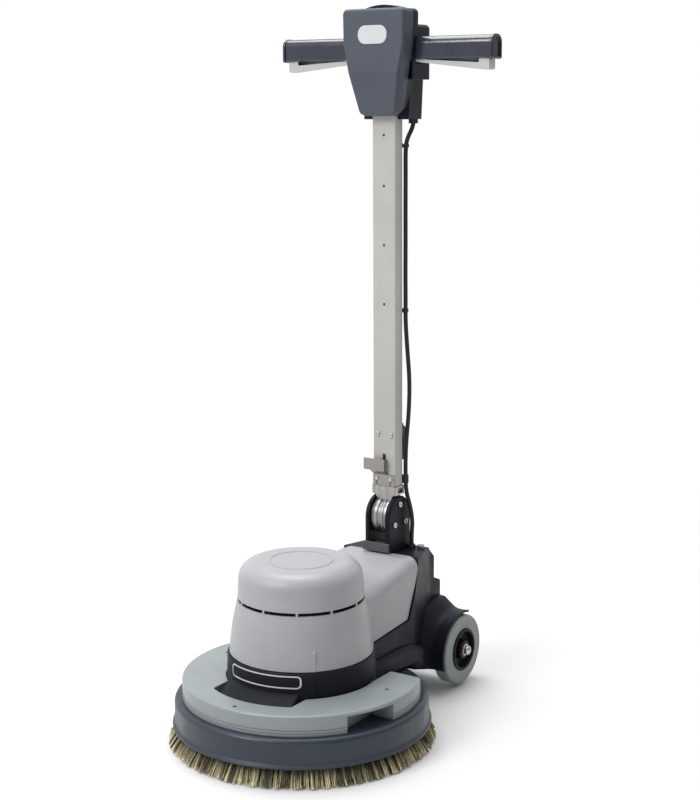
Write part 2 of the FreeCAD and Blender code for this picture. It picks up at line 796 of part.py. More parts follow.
def chassis_sill():
    """The bulge low on each side, from the motor band to the mudguards."""
    low = DECK_Z[1]
    wide = SILL_HALF_WIDTH
    side = ((60, low), (212, low), (242, 59), (242, 99), (212, 110), (178, 116), (60, 116))
    sill = slab_x(side, (-wide, wide), (0, 4, 4, 14, 40, 60, 0))

    def outer_upper(edge):
        middle = edge.CenterOfMass
        return abs(abs(middle.x) - wide) < 0.1 and edge.BoundBox.ZMax > 84 and middle.y > 61

    return rounded(sill, 7.0, outer_upper)


def chassis_guards():
    """Half-round mudguards that flare into the housing, each with a rolled outer edge."""
    guards = []
    for side in SIDES:
        inner = side * (TOWER_HALF_WIDTH - 6)
        outer = side * GUARD_END_X
        profile = (
            (inner, 0),
            (inner, GUARD_RADIUS + 20),
            (side * 62, GUARD_RADIUS + 18),
            (side * 86, GUARD_RADIUS),
            (side * (GUARD_END_X - 4), GUARD_RADIUS),
            (outer, GUARD_RADIUS + 1.5),
            (outer, 0),
        )
        guard = turned_across(profile, AXLE_Y, AXLE_Z, (0, 0, 6, 26, 2, 0.6, 0))
        front_y = AXLE_Y - GUARD_RADIUS - 24
        keep = box((-200, 200), (front_y, CHASSIS_REAR_Y), (GUARD_BOTTOM, 200))
        guards.append(guard.common(keep))
    return guards


def front_pad():
    """A rubber pad on the tower, in front of the cheeks and over the joint with the cover."""
    over = 260.4
    top = 276.0
    front = box((-26.5, 26.5), (226, 230.2), (over, top))
    front = rounded(front, 1.0, lambda edge: edge.BoundBox.YMax < 226.1)
    web = box((-14, 14), (230, 251), (over, top - 4))
    foot = box((-14, 14), (245, 251), (TOWER_TOP, top - 4))
    return join([front, web, foot])


def fascia_radius(z):
    """The front panel's outer radius at a height: it leans in by its draft."""
    share = (FASCIA_Z[1] - z) / (FASCIA_Z[1] - FASCIA_Z[0])
    return FASCIA_RADIUS + FASCIA_DRAFT * share


def front_badge():
    """A plain raised border on the front panel."""
    low, high = BADGE_Z
    low_radius, high_radius = fascia_radius(low - 1), fascia_radius(high + 1)
    skin = turned(
        (
            (low_radius, low - 1),
            (low_radius + BADGE_THICKNESS, low - 1),
            (high_radius + BADGE_THICKNESS, high + 1),
            (high_radius, high + 1),
        )
    )
    left, right = BADGE_X
    rim = ((left, low), (right, low), (right, high), (left, high))
    border = BADGE_BORDER
    left, right, low, high = left + border, right - border, low + border, high - border
    window = ((left, low), (right, low), (right, high), (left, high))
    frame = slab_y(rim, (-150, -60), 7).cut(slab_y(window, (-151, -59), 7 - border))
    return frame.common(skin)


def chassis_fascia():
    """The slightly raised front panel of the motor band."""
    low, high = FASCIA_Z
    inner = BAND_RADIUS - 2
    ring = turned(
        ((inner, low), (fascia_radius(low), low), (FASCIA_RADIUS, high), (inner, high)),
        (0, 0, 1, 0),
    )
    reach = 200.0
    angle = math.radians(90 - FASCIA_HALF_ANGLE)
    wedge = slab_z(
        (
            (0, 0),
            (-reach * math.cos(angle), -reach * math.sin(angle)),
            (0, -2 * reach),
            (reach * math.cos(angle), -reach * math.sin(angle)),
        ),
        (0, 300),
    )
    return ring.common(wedge)


def chassis_ramp():
    """The sloping front lip that fills the notch of the weight."""
    foot, crest = DECK_Z[1], 121.5
    inner, outer = BAND_RADIUS - 3, NOTCH_RADIUS - 3
    cone = turned(((100, foot), (outer, foot), (outer, 99), (inner, crest), (100, crest)))
    sides = slab_y(((-75, foot), (75, foot), (67, crest), (-67, crest)), (-160, -60))
    wedge = cone.common(sides).Solids[0]

    def upper_side(edge):
        middle = edge.CenterOfMass
        return abs(middle.x) > 60 and middle.z > 99 and middle.y < -105 and edge.BoundBox.YLength > 15

    return rounded(wedge, 4.0, upper_side).cut(upright(BAND_BORE, ALL_HEIGHTS))


# ---------------------------------------------------------------- cover


def cover_profile(inset):
    """The round cover's wall, drawn in by inset, as a closed face turned about Z."""
    base, top = COVER_Z
    lower = Vector(COVER_BASE_RADIUS - inset, 0, base)
    bulge = Vector(112.5 - inset, 0, 202.0)
    waist = Vector(104.5 - inset, 0, 237.0)
    shoulder = Vector(102.0 - inset, 0, 274.0)
    corner = Vector(94.0 - inset * 0.7, 0, 293.0 - inset * 0.7)
    rim = Vector(74.0, 0, top - inset)
    crown = Vector(0, 0, top - inset)
    foot = Vector(0, 0, base)
    edges = [
        Part.LineSegment(foot, lower).toShape(),
        Part.Arc(lower, bulge, waist).toShape(),
        Part.LineSegment(waist, shoulder).toShape(),
        Part.Arc(shoulder, corner, rim).toShape(),
        Part.LineSegment(rim, crown).toShape(),
        Part.LineSegment(crown, foot).toShape(),
    ]
    return Part.Face(Part.Wire(edges)).revolve(MIDDLE, UP, 360)


def fairing_block(inset):
    """The rear fairing, drawn in by inset."""
    wide = FAIRING_HALF_WIDTH - inset
    points = (
        (20, 141),
        (100, 148.5),
        (203, 156.5),
        (229 - inset, 214),
        (242.5 - inset, 257 - inset),
        (215 - inset, 259 - inset),
        (110, 236 - inset),
        (20, 228 - inset),
    )
    block = slab_x(points, (-wide, wide), (0, 0, 0, 0, 0, 30, 60, 0))
    shoulder = 22.0 - inset
    return rounded(
        block,
        shoulder,
        lambda edge: abs(abs(edge.CenterOfMass.x) - wide) < 0.1 and edge.BoundBox.ZMin > 225 - inset,
    )


def motor_cover():
    """The light cover: a round cap over the motor, with the rear fairing."""
    outside = join([cover_profile(0), fairing_block(0)])
    inside = join([cover_profile(COVER_WALL), fairing_block(COVER_WALL)])
    under = upright(BAND_RADIUS + 0.6, (0, COVER_Z[0]))
    cover = outside.cut(inside).cut(under)
    for i in range(SLOTS):
        start = -90.0 + SLOT_PITCH * (i - SLOTS / 2) + SLOT_RIB_ANGLE / 2
        cover = cover.cut(ring_sector(start, SLOT_PITCH - SLOT_RIB_ANGLE, SLOT_Z))
    inner, outer = EMBLEM_RADII
    low, high = COVER_Z[1] - 2, COVER_Z[1] + EMBLEM_HEIGHT
    emblem = turned(((inner, low), (outer, low), (outer, high), (inner, high)), (0, 0, 0.5, 0.5))
    return join([cover, emblem, cover_locator().cut(inside)])


def cover_locator():
    """The upright rib at the foot of the cover, over the end of the front panel."""
    base = COVER_Z[0]
    top = base + LOCATOR_HEIGHT
    outer = COVER_BASE_RADIUS
    inner = outer - 9
    side = ((inner, base), (outer + 0.6, base), (outer - 0.4, top - 4), (outer - 4, top), (inner, top))
    rib = slab_y(side, (-2.7, 2.7), (0, 0, 4, 0, 0))
    rib = rounded(rib, 1.0, lambda edge: edge.CenterOfMass.x > outer - 3 and edge.BoundBox.ZLength > 20)
    return spun(rib, -45.0)


def ring_sector(start, sweep, z):
    """A piece of a thick ring, from one angle over a sweep."""
    wire = outline([Vector(92, 0, z[0]), Vector(125, 0, z[0]), Vector(125, 0, z[1]), Vector(92, 0, z[1])], 0)
    sector = Part.Face(wire).revolve(MIDDLE, UP, sweep)
    return spun(sector, start)


# ---------------------------------------------------------------- electrical


def start_capacitor():
    """The capacitor, lying across the rear housing."""
    can = Part.makeCylinder(21.0, 92.0, Vector(-46, 158, 118), SIDE)
    return can.fuse(box((-12, 12), (143, 173), (DECK_Z[1] + 4.5, 99))).removeSplitter()


def terminal_box():
    case = box((8, 46), (306, 332), (194, 226))
    return rounded(case, 3.0, lambda edge: edge.BoundBox.ZLength > 20)


def base_gland():
    """The gland where the motor cable enters the chassis."""
    top = TOWER_TOP
    profile = ((4.2, top - 8), (5.9, top - 8), (5.9, top), (7.4, top), (6.6, top + 7), (4.2, top + 7))
    gland = turned(profile, (0, 0, 0, 0.6, 0.8, 0))
    gland.translate(Vector(BASE_GLAND_AT[0], BASE_GLAND_AT[1], 0))
    return gland


# ---------------------------------------------------------------- wheels


def axle():
    """One axle for both wheels, with shoulders that space the hubs from the chassis."""
    rod = across(AXLE_RADIUS, (-116.4, 116.4), AXLE_Y, AXLE_Z)
    studs = across(STUD_RADIUS, (-124.0, 124.0), AXLE_Y, AXLE_Z)
    collars = []
    for side in SIDES:
        span = sorted((side * (WHEEL_X[0] - 3 + 0.2), side * (WHEEL_X[0] + 1.5)))
        collars.append(across(AXLE_RADIUS + 4, span, AXLE_Y, AXLE_Z))
    return join([rod, studs] + collars)


def axle_nuts():
    """Domed nuts with washers on both ends of the axle."""
    nuts = []
    for side in SIDES:
        profile = (
            (side * 116.6, STUD_RADIUS),
            (side * 116.6, 10.5),
            (side * 117.8, 10.5),
            (side * 117.8, 8.4),
            (side * 124.0, 8.4),
            (side * 129.0, 0.0),
            (side * 124.0, 0.0),
            (side * 124.0, STUD_RADIUS),
        )
        nuts.append(turned_across(profile, AXLE_Y, AXLE_Z, (0, 0.4, 0.4, 0, 3, 0, 0, 0)))
    return Part.makeCompound(nuts)


def wheel_hub(side):
    """The black hub: a deep rim, a web and a boss that runs on the axle."""
    rim = TYRE_INNER_RADIUS
    bore = AXLE_RADIUS + RUNNING_GAP
    profile = (
        (side * (WHEEL_X[0] + 2), bore),
        (side * (WHEEL_X[0] + 2), 18.0),
        (side * (WHEEL_X[0] + 8), 20.0),
        (side * (WHEEL_X[0] + 8), rim - 6),
        (side * (WHEEL_X[0] + 1), rim - 4),
        (side * (WHEEL_X[0] + 1), rim),
        (side * (WHEEL_X[1] + 3), rim),
        (side * (WHEEL_X[1] + 3), rim - 5),
        (side * (WHEEL_X[1] - 9), rim - 8),
        (side * (WHEEL_X[1] - 9), 18.0),
        (side * (WHEEL_X[1] + 3), 16.0),
        (side * (WHEEL_X[1] + 3), bore),
    )
    return turned_across(profile, AXLE_Y, AXLE_Z, (0, 0, 0, 0, 0, 0, 2, 2, 2, 2, 1, 0))


def wheel_tyre(side):
    """The solid rubber tyre on the hub."""
    profile = (
        (side * WHEEL_X[0], TYRE_INNER_RADIUS + RUNNING_GAP / 2),
        (side * WHEEL_X[0], WHEEL_RADIUS),
        (side * WHEEL_X[1], WHEEL_RADIUS),
        (side * WHEEL_X[1], TYRE_INNER_RADIUS + RUNNING_GAP / 2),
    )
    return turned_across(profile, AXLE_Y, AXLE_Z, (0, 4, 4, 0))


# ---------------------------------------------------------------- tilt pivot


def ear(side):
    """One of the two cheeks that hold the pivot drum."""
    front, back = PIVOT_Y - EAR_RADIUS, PIVOT_Y + EAR_RADIUS
    front_low = Vector(EAR_INNER_X, front, TOWER_TOP)
    front_high = Vector(EAR_INNER_X, front, PIVOT_Z)
    crown = Vector(EAR_INNER_X, PIVOT_Y, PIVOT_Z + EAR_RADIUS)
    back_high = Vector(EAR_INNER_X, back, PIVOT_Z)
    back_low = Vector(EAR_INNER_X, back, TOWER_TOP)
    wire = Part.Wire(
        [
            Part.LineSegment(front_low, front_high).toShape(),
            Part.Arc(front_high, crown, back_high).toShape(),
            Part.LineSegment(back_high, back_low).toShape(),
            Part.LineSegment(back_low, front_low).toShape(),
        ]
    )
    cheek = Part.Face(wire).extrude(Vector(EAR_OUTER_X - EAR_INNER_X, 0, 0))
    cheek = rounded(
        cheek,
        4.0,
        lambda edge: edge.BoundBox.XMin > EAR_OUTER_X - 0.1 and edge.BoundBox.ZMax > TOWER_TOP + 1,
    )
    holes = []
    for angle in EAR_SCREW_ANGLES:
        hole = across(2.5, (0, 40), PIVOT_Y + EAR_SCREW_RADIUS, PIVOT_Z)
        holes.append(pivoted(hole, angle))
    over_fairing = box((0, 60), (200, 244), (200, 260.2))
    cheek = cheek.cut(Part.makeCompound(holes)).cut(over_fairing)
    return cheek if side > 0 else mirrored(cheek)


def ear_screws():
    """Three screws through each cheek into the drum."""
    screws = []
    for side in SIDES:
        for angle in EAR_SCREW_ANGLES:
            place = Vector(side * EAR_OUTER_X, PIVOT_Y + EAR_SCREW_RADIUS, PIVOT_Z)
            one = screw(5.2, 3.0, 2.4, 12.0, place, Vector(side, 0, 0))
            screws.append(pivoted(one, angle))
    return Part.makeCompound(screws)


def pivot_drum():
    """The fixed drum between the cheeks, with a notch for each locked angle."""
    drum = across(DRUM_RADIUS, (-EAR_INNER_X, EAR_INNER_X), PIVOT_Y, PIVOT_Z)
    notches = []
    rim_y = PIVOT_Y + DRUM_RADIUS
    for angle in LOCK_NOTCH_ANGLES:
        notch = box((-6, 6), (rim_y - 3, rim_y + 5), (PIVOT_Z - 3, PIVOT_Z + 3))
        notches.append(pivoted(notch, angle))
    holes = []
    for angle in EAR_SCREW_ANGLES:
        for span in ((-20, -EAR_INNER_X + 5), (EAR_INNER_X - 5, 20)):
            hole = across(2.5, span, PIVOT_Y + EAR_SCREW_RADIUS, PIVOT_Z)
            holes.append(pivoted(hole, angle))
    return drum.cut(Part.makeCompound(notches)).cut(Part.makeCompound(holes))


def knuckle():
    """The cast knuckle: a ribbed ring on the drum, a neck, a block and a spigot in the tube."""
    half = KNUCKLE_HALF_WIDTH
    radius = KNUCKLE_RADIUS
    profile = (
        (-half, 0),
        (-half, radius - 1.5),
        (-10.5, radius),
        (-9.5, radius - 1.2),
        (-8.5, radius),
        (-3.5, radius),
        (-2.0, radius - 3.5),
        (2.0, radius - 3.5),
        (3.5, radius),
        (8.5, radius),
        (9.5, radius - 1.2),
        (10.5, radius),
        (half, radius - 1.5),
        (half, 0),
    )
    ring = turned_across(profile, PIVOT_Y, PIVOT_Z, (0, 2, 0, 0, 0, 2, 1.5, 1.5, 2, 0, 0, 0, 2, 0))
    block_z = PIVOT_Z + EAR_RADIUS + 2.5
    neck = slab_y(
        (
            (-half + 2, PIVOT_Z),
            (half - 2, PIVOT_Z),
            (half - 4, block_z - 10),
            (TUBE_HALF_X, block_z + 3),
            (-TUBE_HALF_X, block_z + 3),
            (-half + 4, block_z - 10),
        ),
        (TUBE_Y - 13, TUBE_Y + 13),
        (0, 0, 8, 0, 0, 8),
    )
    above_ears = box((-40, 40), (200, 340), (PIVOT_Z + EAR_RADIUS + 0.8, 500))
    narrow = box((-half, half), (200, 340), (0, 500))
    neck = join([neck.common(above_ears), neck.common(narrow)])
    block = box((-TUBE_HALF_X - 2, TUBE_HALF_X + 2), (TUBE_Y - 14, TUBE_Y + 14), (block_z, TUBE_Z[0]))
    block = rounded(block, 2.0, lambda edge: edge.BoundBox.ZLength > 10)
    spigot = box(
        (-TUBE_HALF_X + TUBE_WALL, TUBE_HALF_X - TUBE_WALL),
        (TUBE_Y - TUBE_HALF_Y + TUBE_WALL, TUBE_Y + TUBE_HALF_Y - TUBE_WALL),
        (TUBE_Z[0], TUBE_SCREW_Z + 14),
    )
    cast = join([ring, neck, block, spigot])
    cast = cast.cut(across(DRUM_RADIUS + RUNNING_GAP, (-40, 40), PIVOT_Y, PIVOT_Z))
    side_pocket = box((TUBE_HALF_X - 3, 40), (TUBE_Y - 7, TUBE_Y + 9), (block_z + 3, TUBE_Z[0] - 3))
    cast = cast.cut(side_pocket).cut(mirrored(side_pocket))
    pawl_way = box(
        (-PAWL_HALF - LOOSE_GAP, PAWL_HALF + LOOSE_GAP),
        (TUBE_Y - PAWL_HALF - LOOSE_GAP, TUBE_Y + PAWL_HALF + LOOSE_GAP),
        (PIVOT_Z, SPRING_SEAT_Z + LOOSE_GAP),
    )
    pin_way = box((-3.4, 3.4), (TUBE_Y - 30, TUBE_Y), PIN_SLOT_Z)
    holes = []
    for x in (-TUBE_SCREW_X, TUBE_SCREW_X):
        holes.append(along_y(2.1, (TUBE_Y - 20, TUBE_Y), x, TUBE_SCREW_Z))
        holes.append(along_y(1.9, (TUBE_Y - 20, TUBE_Y), math.copysign(RELEASE_STUD_X, x), RELEASE_STUD_Z))
    return cast.cut(pawl_way).cut(pin_way).cut(Part.makeCompound(holes))


# ---------------------------------------------------------------- handle tube


def handle_tube():
    """The rectangular tube from the knuckle to the operator head."""
    hx, hy = TUBE_HALF_X, TUBE_HALF_Y
    front, rear = TUBE_Y - hy, TUBE_Y + hy
    outer = slab_z(((-hx, front), (hx, front), (hx, rear), (-hx, rear)), TUBE_Z, 2.5)
    ix, iy = hx - TUBE_WALL, hy - TUBE_WALL
    inner = box((-ix, ix), (TUBE_Y - iy, TUBE_Y + iy), (TUBE_Z[0] - 1, TUBE_Z[1] + 1))
    cuts = []
    for z in TUBE_HOLES_Z:
        cuts.append(along_y(2.2, (front - 5, front + 5), 0, z))
    for x in (-TUBE_SCREW_X, TUBE_SCREW_X):
        cuts.append(along_y(2.1, (front - 5, front + 5), x, TUBE_SCREW_Z))
        cuts.append(along_y(1.9, (front - 5, front + 5), math.copysign(RELEASE_STUD_X, x), RELEASE_STUD_Z))
    slot = box((-3.4, 3.4), (front - 5, front + 5), PIN_SLOT_Z)
    return outer.cut(inner).cut(Part.makeCompound(cuts)).cut(slot)


def tube_screws():
    """Two screws into the spigot, and the two studs that the release plate slides on."""
    front = TUBE_Y - TUBE_HALF_Y
    outwards = Vector(0, -1, 0)
    screws = []
    for x in (-TUBE_SCREW_X, TUBE_SCREW_X):
        screws.append(screw(4.2, 2.6, 2.0, 10.0, Vector(x, front, TUBE_SCREW_Z), outwards))
        stud_x = math.copysign(RELEASE_STUD_X, x)
        head = screw(3.4, 1.6, 1.8, 10.0, Vector(stud_x, front - 2.4, RELEASE_STUD_Z), outwards)
        screws.append(head)
    return Part.makeCompound(screws)


def cord_hook():
    """The plastic hook on the back of the tube, tip down."""
    back = TUBE_Y + TUBE_HALF_Y
    profile = (
        (back, 424),
        (back + 5, 424),
        (back + 5, 459),
        (back + 26, 459),
        (back + 26, 410),
        (back + 32, 410),
        (back + 32, 472),
        (back, 472),
    )
    hook = slab_x(profile, (-9, 9), (0, 2, 4, 4, 2, 2, 6, 2))
    knob = box((-6, 6), (back + 20, back + 30), (470, 476))
    knob = rounded(knob, 2.0, lambda edge: edge.BoundBox.ZMin > 475)
    return join([hook, knob])


# ---------------------------------------------------------------- release lever


def release_plate():
    """The folded sheet that lifts the pawl: a slotted leg and a wing to push."""
    front = TUBE_Y - TUBE_HALF_Y
    thick = 1.8
    leg_back = front - LOOSE_GAP
    leg = slab_y(
        ((-22, 372.5), (22, 372.5), (22, 393), (-22, 393)),
        (leg_back - thick, leg_back),
        (2, 2, 1, 1),
    )
    profile = (
        (leg_back, 391),
        (leg_back, 394),
        (leg_back - 9, 401),
        (leg_back - 9, 421),
        (leg_back - 9 - thick, 421),
        (leg_back - 9 - thick, 399.8),
        (leg_back - thick, 392.8),
        (leg_back - thick, 391),
    )
    wing = slab_x(profile, (-22, 6))
    tab = slab_y(((-36, 400.5), (6, 400.5), (6, 421), (-36, 421)), (leg_back - 9 - thick, leg_back - 9), 2)
    carrier = box((-5, 5), (leg_back - 9, leg_back - 1), (413, 421))
    plate = join([leg, wing, tab, carrier])
    slots = []
    for x in (-RELEASE_STUD_X, RELEASE_STUD_X):
        low = RELEASE_STUD_Z - RELEASE_TRAVEL - 2.5
        slots.append(box((x - 2.2, x + 2.2), (200, 300), (low, RELEASE_STUD_Z + 2.5)))
    return plate.cut(Part.makeCompound(slots))


def lock_pawl():
    """The bar inside the tube, with the pin that comes out to the release plate."""
    tip_z = PIVOT_Z + DRUM_RADIUS + 0.5
    bar = box((-PAWL_HALF, PAWL_HALF), (TUBE_Y - PAWL_HALF, TUBE_Y + PAWL_HALF), (tip_z + 6, 430))
    tip = box((-PAWL_HALF, PAWL_HALF), (TUBE_Y - 2.6, TUBE_Y + 2.6), (tip_z, tip_z + 7))
    pin = along_y(2.6, (TUBE_Y - TUBE_HALF_Y - LOOSE_GAP - 1, TUBE_Y), 0, SLOT_HOLE_Z)
    return join([bar, tip, pin])


def pawl_spring():
    return coil(3.2, 0.6, 6, (430.3, SPRING_SEAT_Z), (0, TUBE_Y))


# ---------------------------------------------------------------- operator head


def head_side_outline(inset):
    """The shield outline of the head, in X and Z."""
    top = HEAD_TOP - inset
    wide = HEAD_HALF_WIDTH - inset
    low = HEAD_BOTTOM + inset
    narrow = 40.0 - inset
    return ((-wide, top), (wide, top), (wide - 1, 1128), (narrow, low), (-narrow, low), (-wide + 1, 1128))


def head_front_cover():
    """The shield-shaped front cover, with a flat centre panel and falling sides."""
    foot = HEAD_FOOT_RADIUS
    radii = (9, 9, 20, foot, foot, 20)
    cover = slab_y(head_side_outline(0), (HEAD_FRONT_Y, HEAD_SPLIT_Y), radii)
    front = HEAD_FRONT_Y
    crease = ((front - 30, 1080), (front, 1080), (front + 15, 1000), (front + 15, 980), (front - 30, 980))
    low_cut = slab_x(crease, (-90, 90))
    cover = rounded(cover.cut(low_cut), 5.0, lambda edge: edge.BoundBox.YMax < HEAD_SPLIT_Y - 1)
    cover = cover.cut(facet_cutter(-1)).cut(facet_cutter(1))
    hollow_radii = (6, 6, 17, foot - HEAD_WALL, foot - HEAD_WALL, 17)
    hollow = slab_y(head_side_outline(HEAD_WALL), (HEAD_FRONT_Y + 7, HEAD_SPLIT_Y + 1), hollow_radii)
    inner = front + 7
    outside = front - 30
    inner_crease = ((outside, 1084), (inner, 1084), (inner + 15, 1000), (inner + 15, 980), (outside, 980))
    hollow = hollow.cut(slab_x(inner_crease, (-90, 90)))
    hollow = hollow.cut(facet_cutter(-1, HEAD_WALL)).cut(facet_cutter(1, HEAD_WALL))
    return cover.cut(hollow)


def head_badge():
    """A plain raised oval plate on the head."""
    half_x, half_z, middle_z = 28.0, 15.0, 1142.0
    corners = (
        (-half_x, middle_z - half_z),
        (half_x, middle_z - half_z),
        (half_x, middle_z + half_z),
        (-half_x, middle_z + half_z),
    )
    return slab_y(corners, (HEAD_FRONT_Y - BADGE_THICKNESS, HEAD_FRONT_Y), 14)


def facet_cutter(side, inset=0.0):
    """A wedge that takes the lower side corner off the front cover."""
    front = HEAD_FRONT_Y + inset
    wide = HEAD_HALF_WIDTH - inset
    upper = Vector(side * wide, front - 1, 1140 + inset)
    inner_low = Vector(side * (30 - inset), front + 14, 1000)
    outer_low = Vector(side * (47 - inset), front + 55, 1000)
    upper_out = Vector(side * (wide + 8), front + 2, 1140 + inset)
    lift = Vector(0, -60, 0)
    low = [upper, inner_low, outer_low, upper_out]
    high = [point + lift for point in low]
    rings = []
    for ring in (low, high):
        rings.append([ring[0], ring[1], ring[2]])
        rings.append([ring[0], ring[2], ring[3]])
    for i in range(4):
        following = (i + 1) % 4
        rings.append([low[i], low[following], high[following], high[i]])
    faces = [Part.Face(Part.makePolygon(ring + [ring[0]])) for ring in rings]
    solid = Part.makeSolid(Part.makeShell(faces))
    if solid.Volume < 0:
        solid.reverse()
    return solid


def head_rear_shell():
    """The rear shell: a crowned upper part, the block that holds the grips and a lower housing."""
    outer = head_rear_solid(0.0)
    inner = head_rear_solid(HEAD_WALL)
    shell = outer.cut(inner)
    tube_way = box(
        (-TUBE_HALF_X - LOOSE_GAP, TUBE_HALF_X + LOOSE_GAP),
        (TUBE_Y - TUBE_HALF_Y - LOOSE_GAP, TUBE_Y + TUBE_HALF_Y + LOOSE_GAP),
        (900, HEAD_BOTTOM + 30),
    )
    bar_way = across(BAR_RADIUS + 0.05, (-90, 90), GRIP_Y, BAR_Z)
    lever_way = box((-90, 90), (GRIP_Y - 12, GRIP_Y + 12), (1095, 1112))
    button_way = along_y(7.3, (280, 330), 0, 1128)
    glands = []
    glands.append(upright(6.0, (980, HEAD_BOTTOM + 20), HEAD_GLAND_AT))
    glands.append(upright(9.0, (980, HEAD_BOTTOM + 20), MAINS_GLAND_AT))
    return shell.cut(tube_way).cut(bar_way).cut(lever_way).cut(button_way).cut(Part.makeCompound(glands))


def head_rear_solid(inset):
    """The rear shell's outside, or its hollow when drawn in."""
    split = HEAD_SPLIT_Y - (1.0 if inset else 0.0)
    wide = HEAD_HALF_WIDTH - inset
    back = BLOCK_BACK_Y - inset
    foot = HEAD_FOOT_RADIUS - inset
    radii = (max(9 - inset, 1), max(9 - inset, 1), 17, foot, foot, 17)
    upper = slab_y(head_side_outline(inset), (split, 268.0 - inset), radii)
    block = box((-wide, wide), (split, back), (REAR_BLOCK_Z[0] + inset, REAR_BLOCK_Z[1] - inset))
    block = rounded(
        block,
        8.0 - inset,
        lambda edge: edge.CenterOfMass.y > 300 or (edge.BoundBox.YLength > 9 and edge.CenterOfMass.z > 1120),
    )
    low = HEAD_BOTTOM - 6 + inset
    lower = ((-44 + inset, low), (44 - inset, low), (48 - inset, 1090), (-48 + inset, 1090))
    lower = slab_y(lower, (264 + inset, back))
    lower = rounded(lower, 6.0 - inset, lambda edge: edge.BoundBox.ZLength > 50 and edge.CenterOfMass.y > 300)
    pieces = [upper, head_crown(inset), block, lower]
    if inset:
        pieces.append(box((-29, 29), (split, 270), (HEAD_BOTTOM + 6, 1085)))
    return join(pieces)


def head_crown(inset):
    """The low dome on top of the rear shell."""
    foot = HEAD_TOP - 14 - inset
    edge_z = HEAD_TOP - 4 - inset
    high = HEAD_CROWN - inset
    half = 47 - inset
    front = HEAD_SPLIT_Y + inset
    left_low, right_low = Vector(-half, front, foot), Vector(half, front, foot)
    left, right = Vector(-half, front, edge_z), Vector(half, front, edge_z)
    wire = Part.Wire(
        [
            Part.LineSegment(left_low, left).toShape(),
            Part.Arc(left, Vector(0, front, high), right).toShape(),
            Part.LineSegment(right, right_low).toShape(),
            Part.LineSegment(right_low, left_low).toShape(),
        ]
    )
    arch = Part.Face(wire).extrude(Vector(0, 40, 0))
    slope = ((front, 1150), (286 - inset, 1150), (280 - inset, high), (front, high))
    return arch.common(slab_x(slope, (-half, half), (0, 0, 12, 0)))


def handlebar():
    """The steel bar through both grips, with the saddle that joins it to the tube."""
    bar = across(BAR_RADIUS, (-BAR_END_X, BAR_END_X), GRIP_Y, BAR_Z)
    saddle = box((-20, 20), (TUBE_Y - 9.5, TUBE_Y + 9.5), (TUBE_Z[1] - 40, BAR_Z - 2))
    return join([bar, saddle])


def grip(side):
    """One moulded grip: rounded on top, slotted below for the trigger, with an end flange."""
    y, half = GRIP_Y, GRIP_HALF_Y
    low, high = GRIP_Z
    section = ((y - half, low), (y + half, low), (y + half, high), (y - half, high))
    body = slab_x(section, GRIP_X, (2.5, 2.5, 13, 13))
    front, back = y - half - 2.5, y + half + 2.5
    big = ((front, low - 2), (back, low - 2), (back, high + 1), (front, high + 1))
    flange = slab_x(big, (GRIP_X[1] - 6, GRIP_X[1]), (4, 4, 14, 14))
    flange = rounded(flange, 2.4, lambda edge: edge.BoundBox.XLength < 0.1)
    front, back = y - half + 3, y + half - 3
    end_outline = ((front, low + 2), (back, low + 2), (back, high - 4), (front, high - 4))
    recess = slab_x(end_outline, (GRIP_X[1] - 3, GRIP_X[1] + 1), (2, 2, 9, 9))
    shape = join([body, flange]).cut(recess)
    shape = shape.cut(across(BAR_RADIUS, (GRIP_X[0] - 1, BAR_END_X), y, BAR_Z))
    slot = box((GRIP_X[0] - 1, TRIGGER_END_X + 1.5), (y - 11.5, y + 11.5), (low - 10, 1115.5))
    shape = shape.cut(slot)
    shape = shape.cut(along_y(TRIGGER_PIN_RADIUS, TRIGGER_PIN_Y, TRIGGER_PIVOT_X, TRIGGER_PIVOT_Z))
    return shape if side > 0 else mirrored(shape)


def trigger(side):
    """One channel-shaped trigger lever, with a tail that works its switch."""
    y, half = GRIP_Y, TRIGGER_HALF_Y
    end = TRIGGER_END_X
    outside = ((50, 1098.5), (74, 1096), (end - 5, 1083), (end, 1084.5), (end, 1101), (74, 1111), (50, 1109))
    lever = slab_y(outside, (y - half, y + half), (0, 12, 5, 2, 2, 6, 0))
    inside = ((76, 1099), (end - 7, 1086.2), (end - 3, 1087.6), (end - 3, 1130), (76, 1130))
    lever = lever.cut(slab_y(inside, (y - half + 2.5, y + half - 2.5)))
    front_step = ((80, 1101), (end - 19, 1095), (end - 19, 1130), (80, 1130))
    lever = lever.cut(slab_y(front_step, (y - half - 1, y - half + 2.6), (1, 2, 0, 0)))
    bore = TRIGGER_PIN_RADIUS + RUNNING_GAP
    lever = lever.cut(along_y(bore, (y - 20, y + 20), TRIGGER_PIVOT_X, TRIGGER_PIVOT_Z))
    spring_bay = box((63, 75), (y - 6.5, y + 6.5), (1099.5, 1120))
    lever = lever.cut(spring_bay)
    return lever if side > 0 else mirrored(lever)


def trigger_pins():
    pins = []
    for side in SIDES:
        pins.append(along_y(TRIGGER_PIN_RADIUS, TRIGGER_PIN_Y, side * TRIGGER_PIVOT_X, TRIGGER_PIVOT_Z))
    return Part.makeCompound(pins)


def trigger_springs():
    """A torsion spring's coil on each trigger pin."""
    springs = []
    for side in SIDES:
        sleeve = along_y(3.6, (GRIP_Y - 5.5, GRIP_Y + 5.5), side * TRIGGER_PIVOT_X, TRIGGER_PIVOT_Z)
        hole = along_y(2.55, (GRIP_Y - 8, GRIP_Y + 8), side * TRIGGER_PIVOT_X, TRIGGER_PIVOT_Z)
        leg = box(sorted((side * 70, side * 71.4)), (GRIP_Y - 5.5, GRIP_Y - 4.1), (1109, 1115.4))
        springs.append(join([sleeve, leg]).cut(hole))
    return Part.makeCompound(springs)


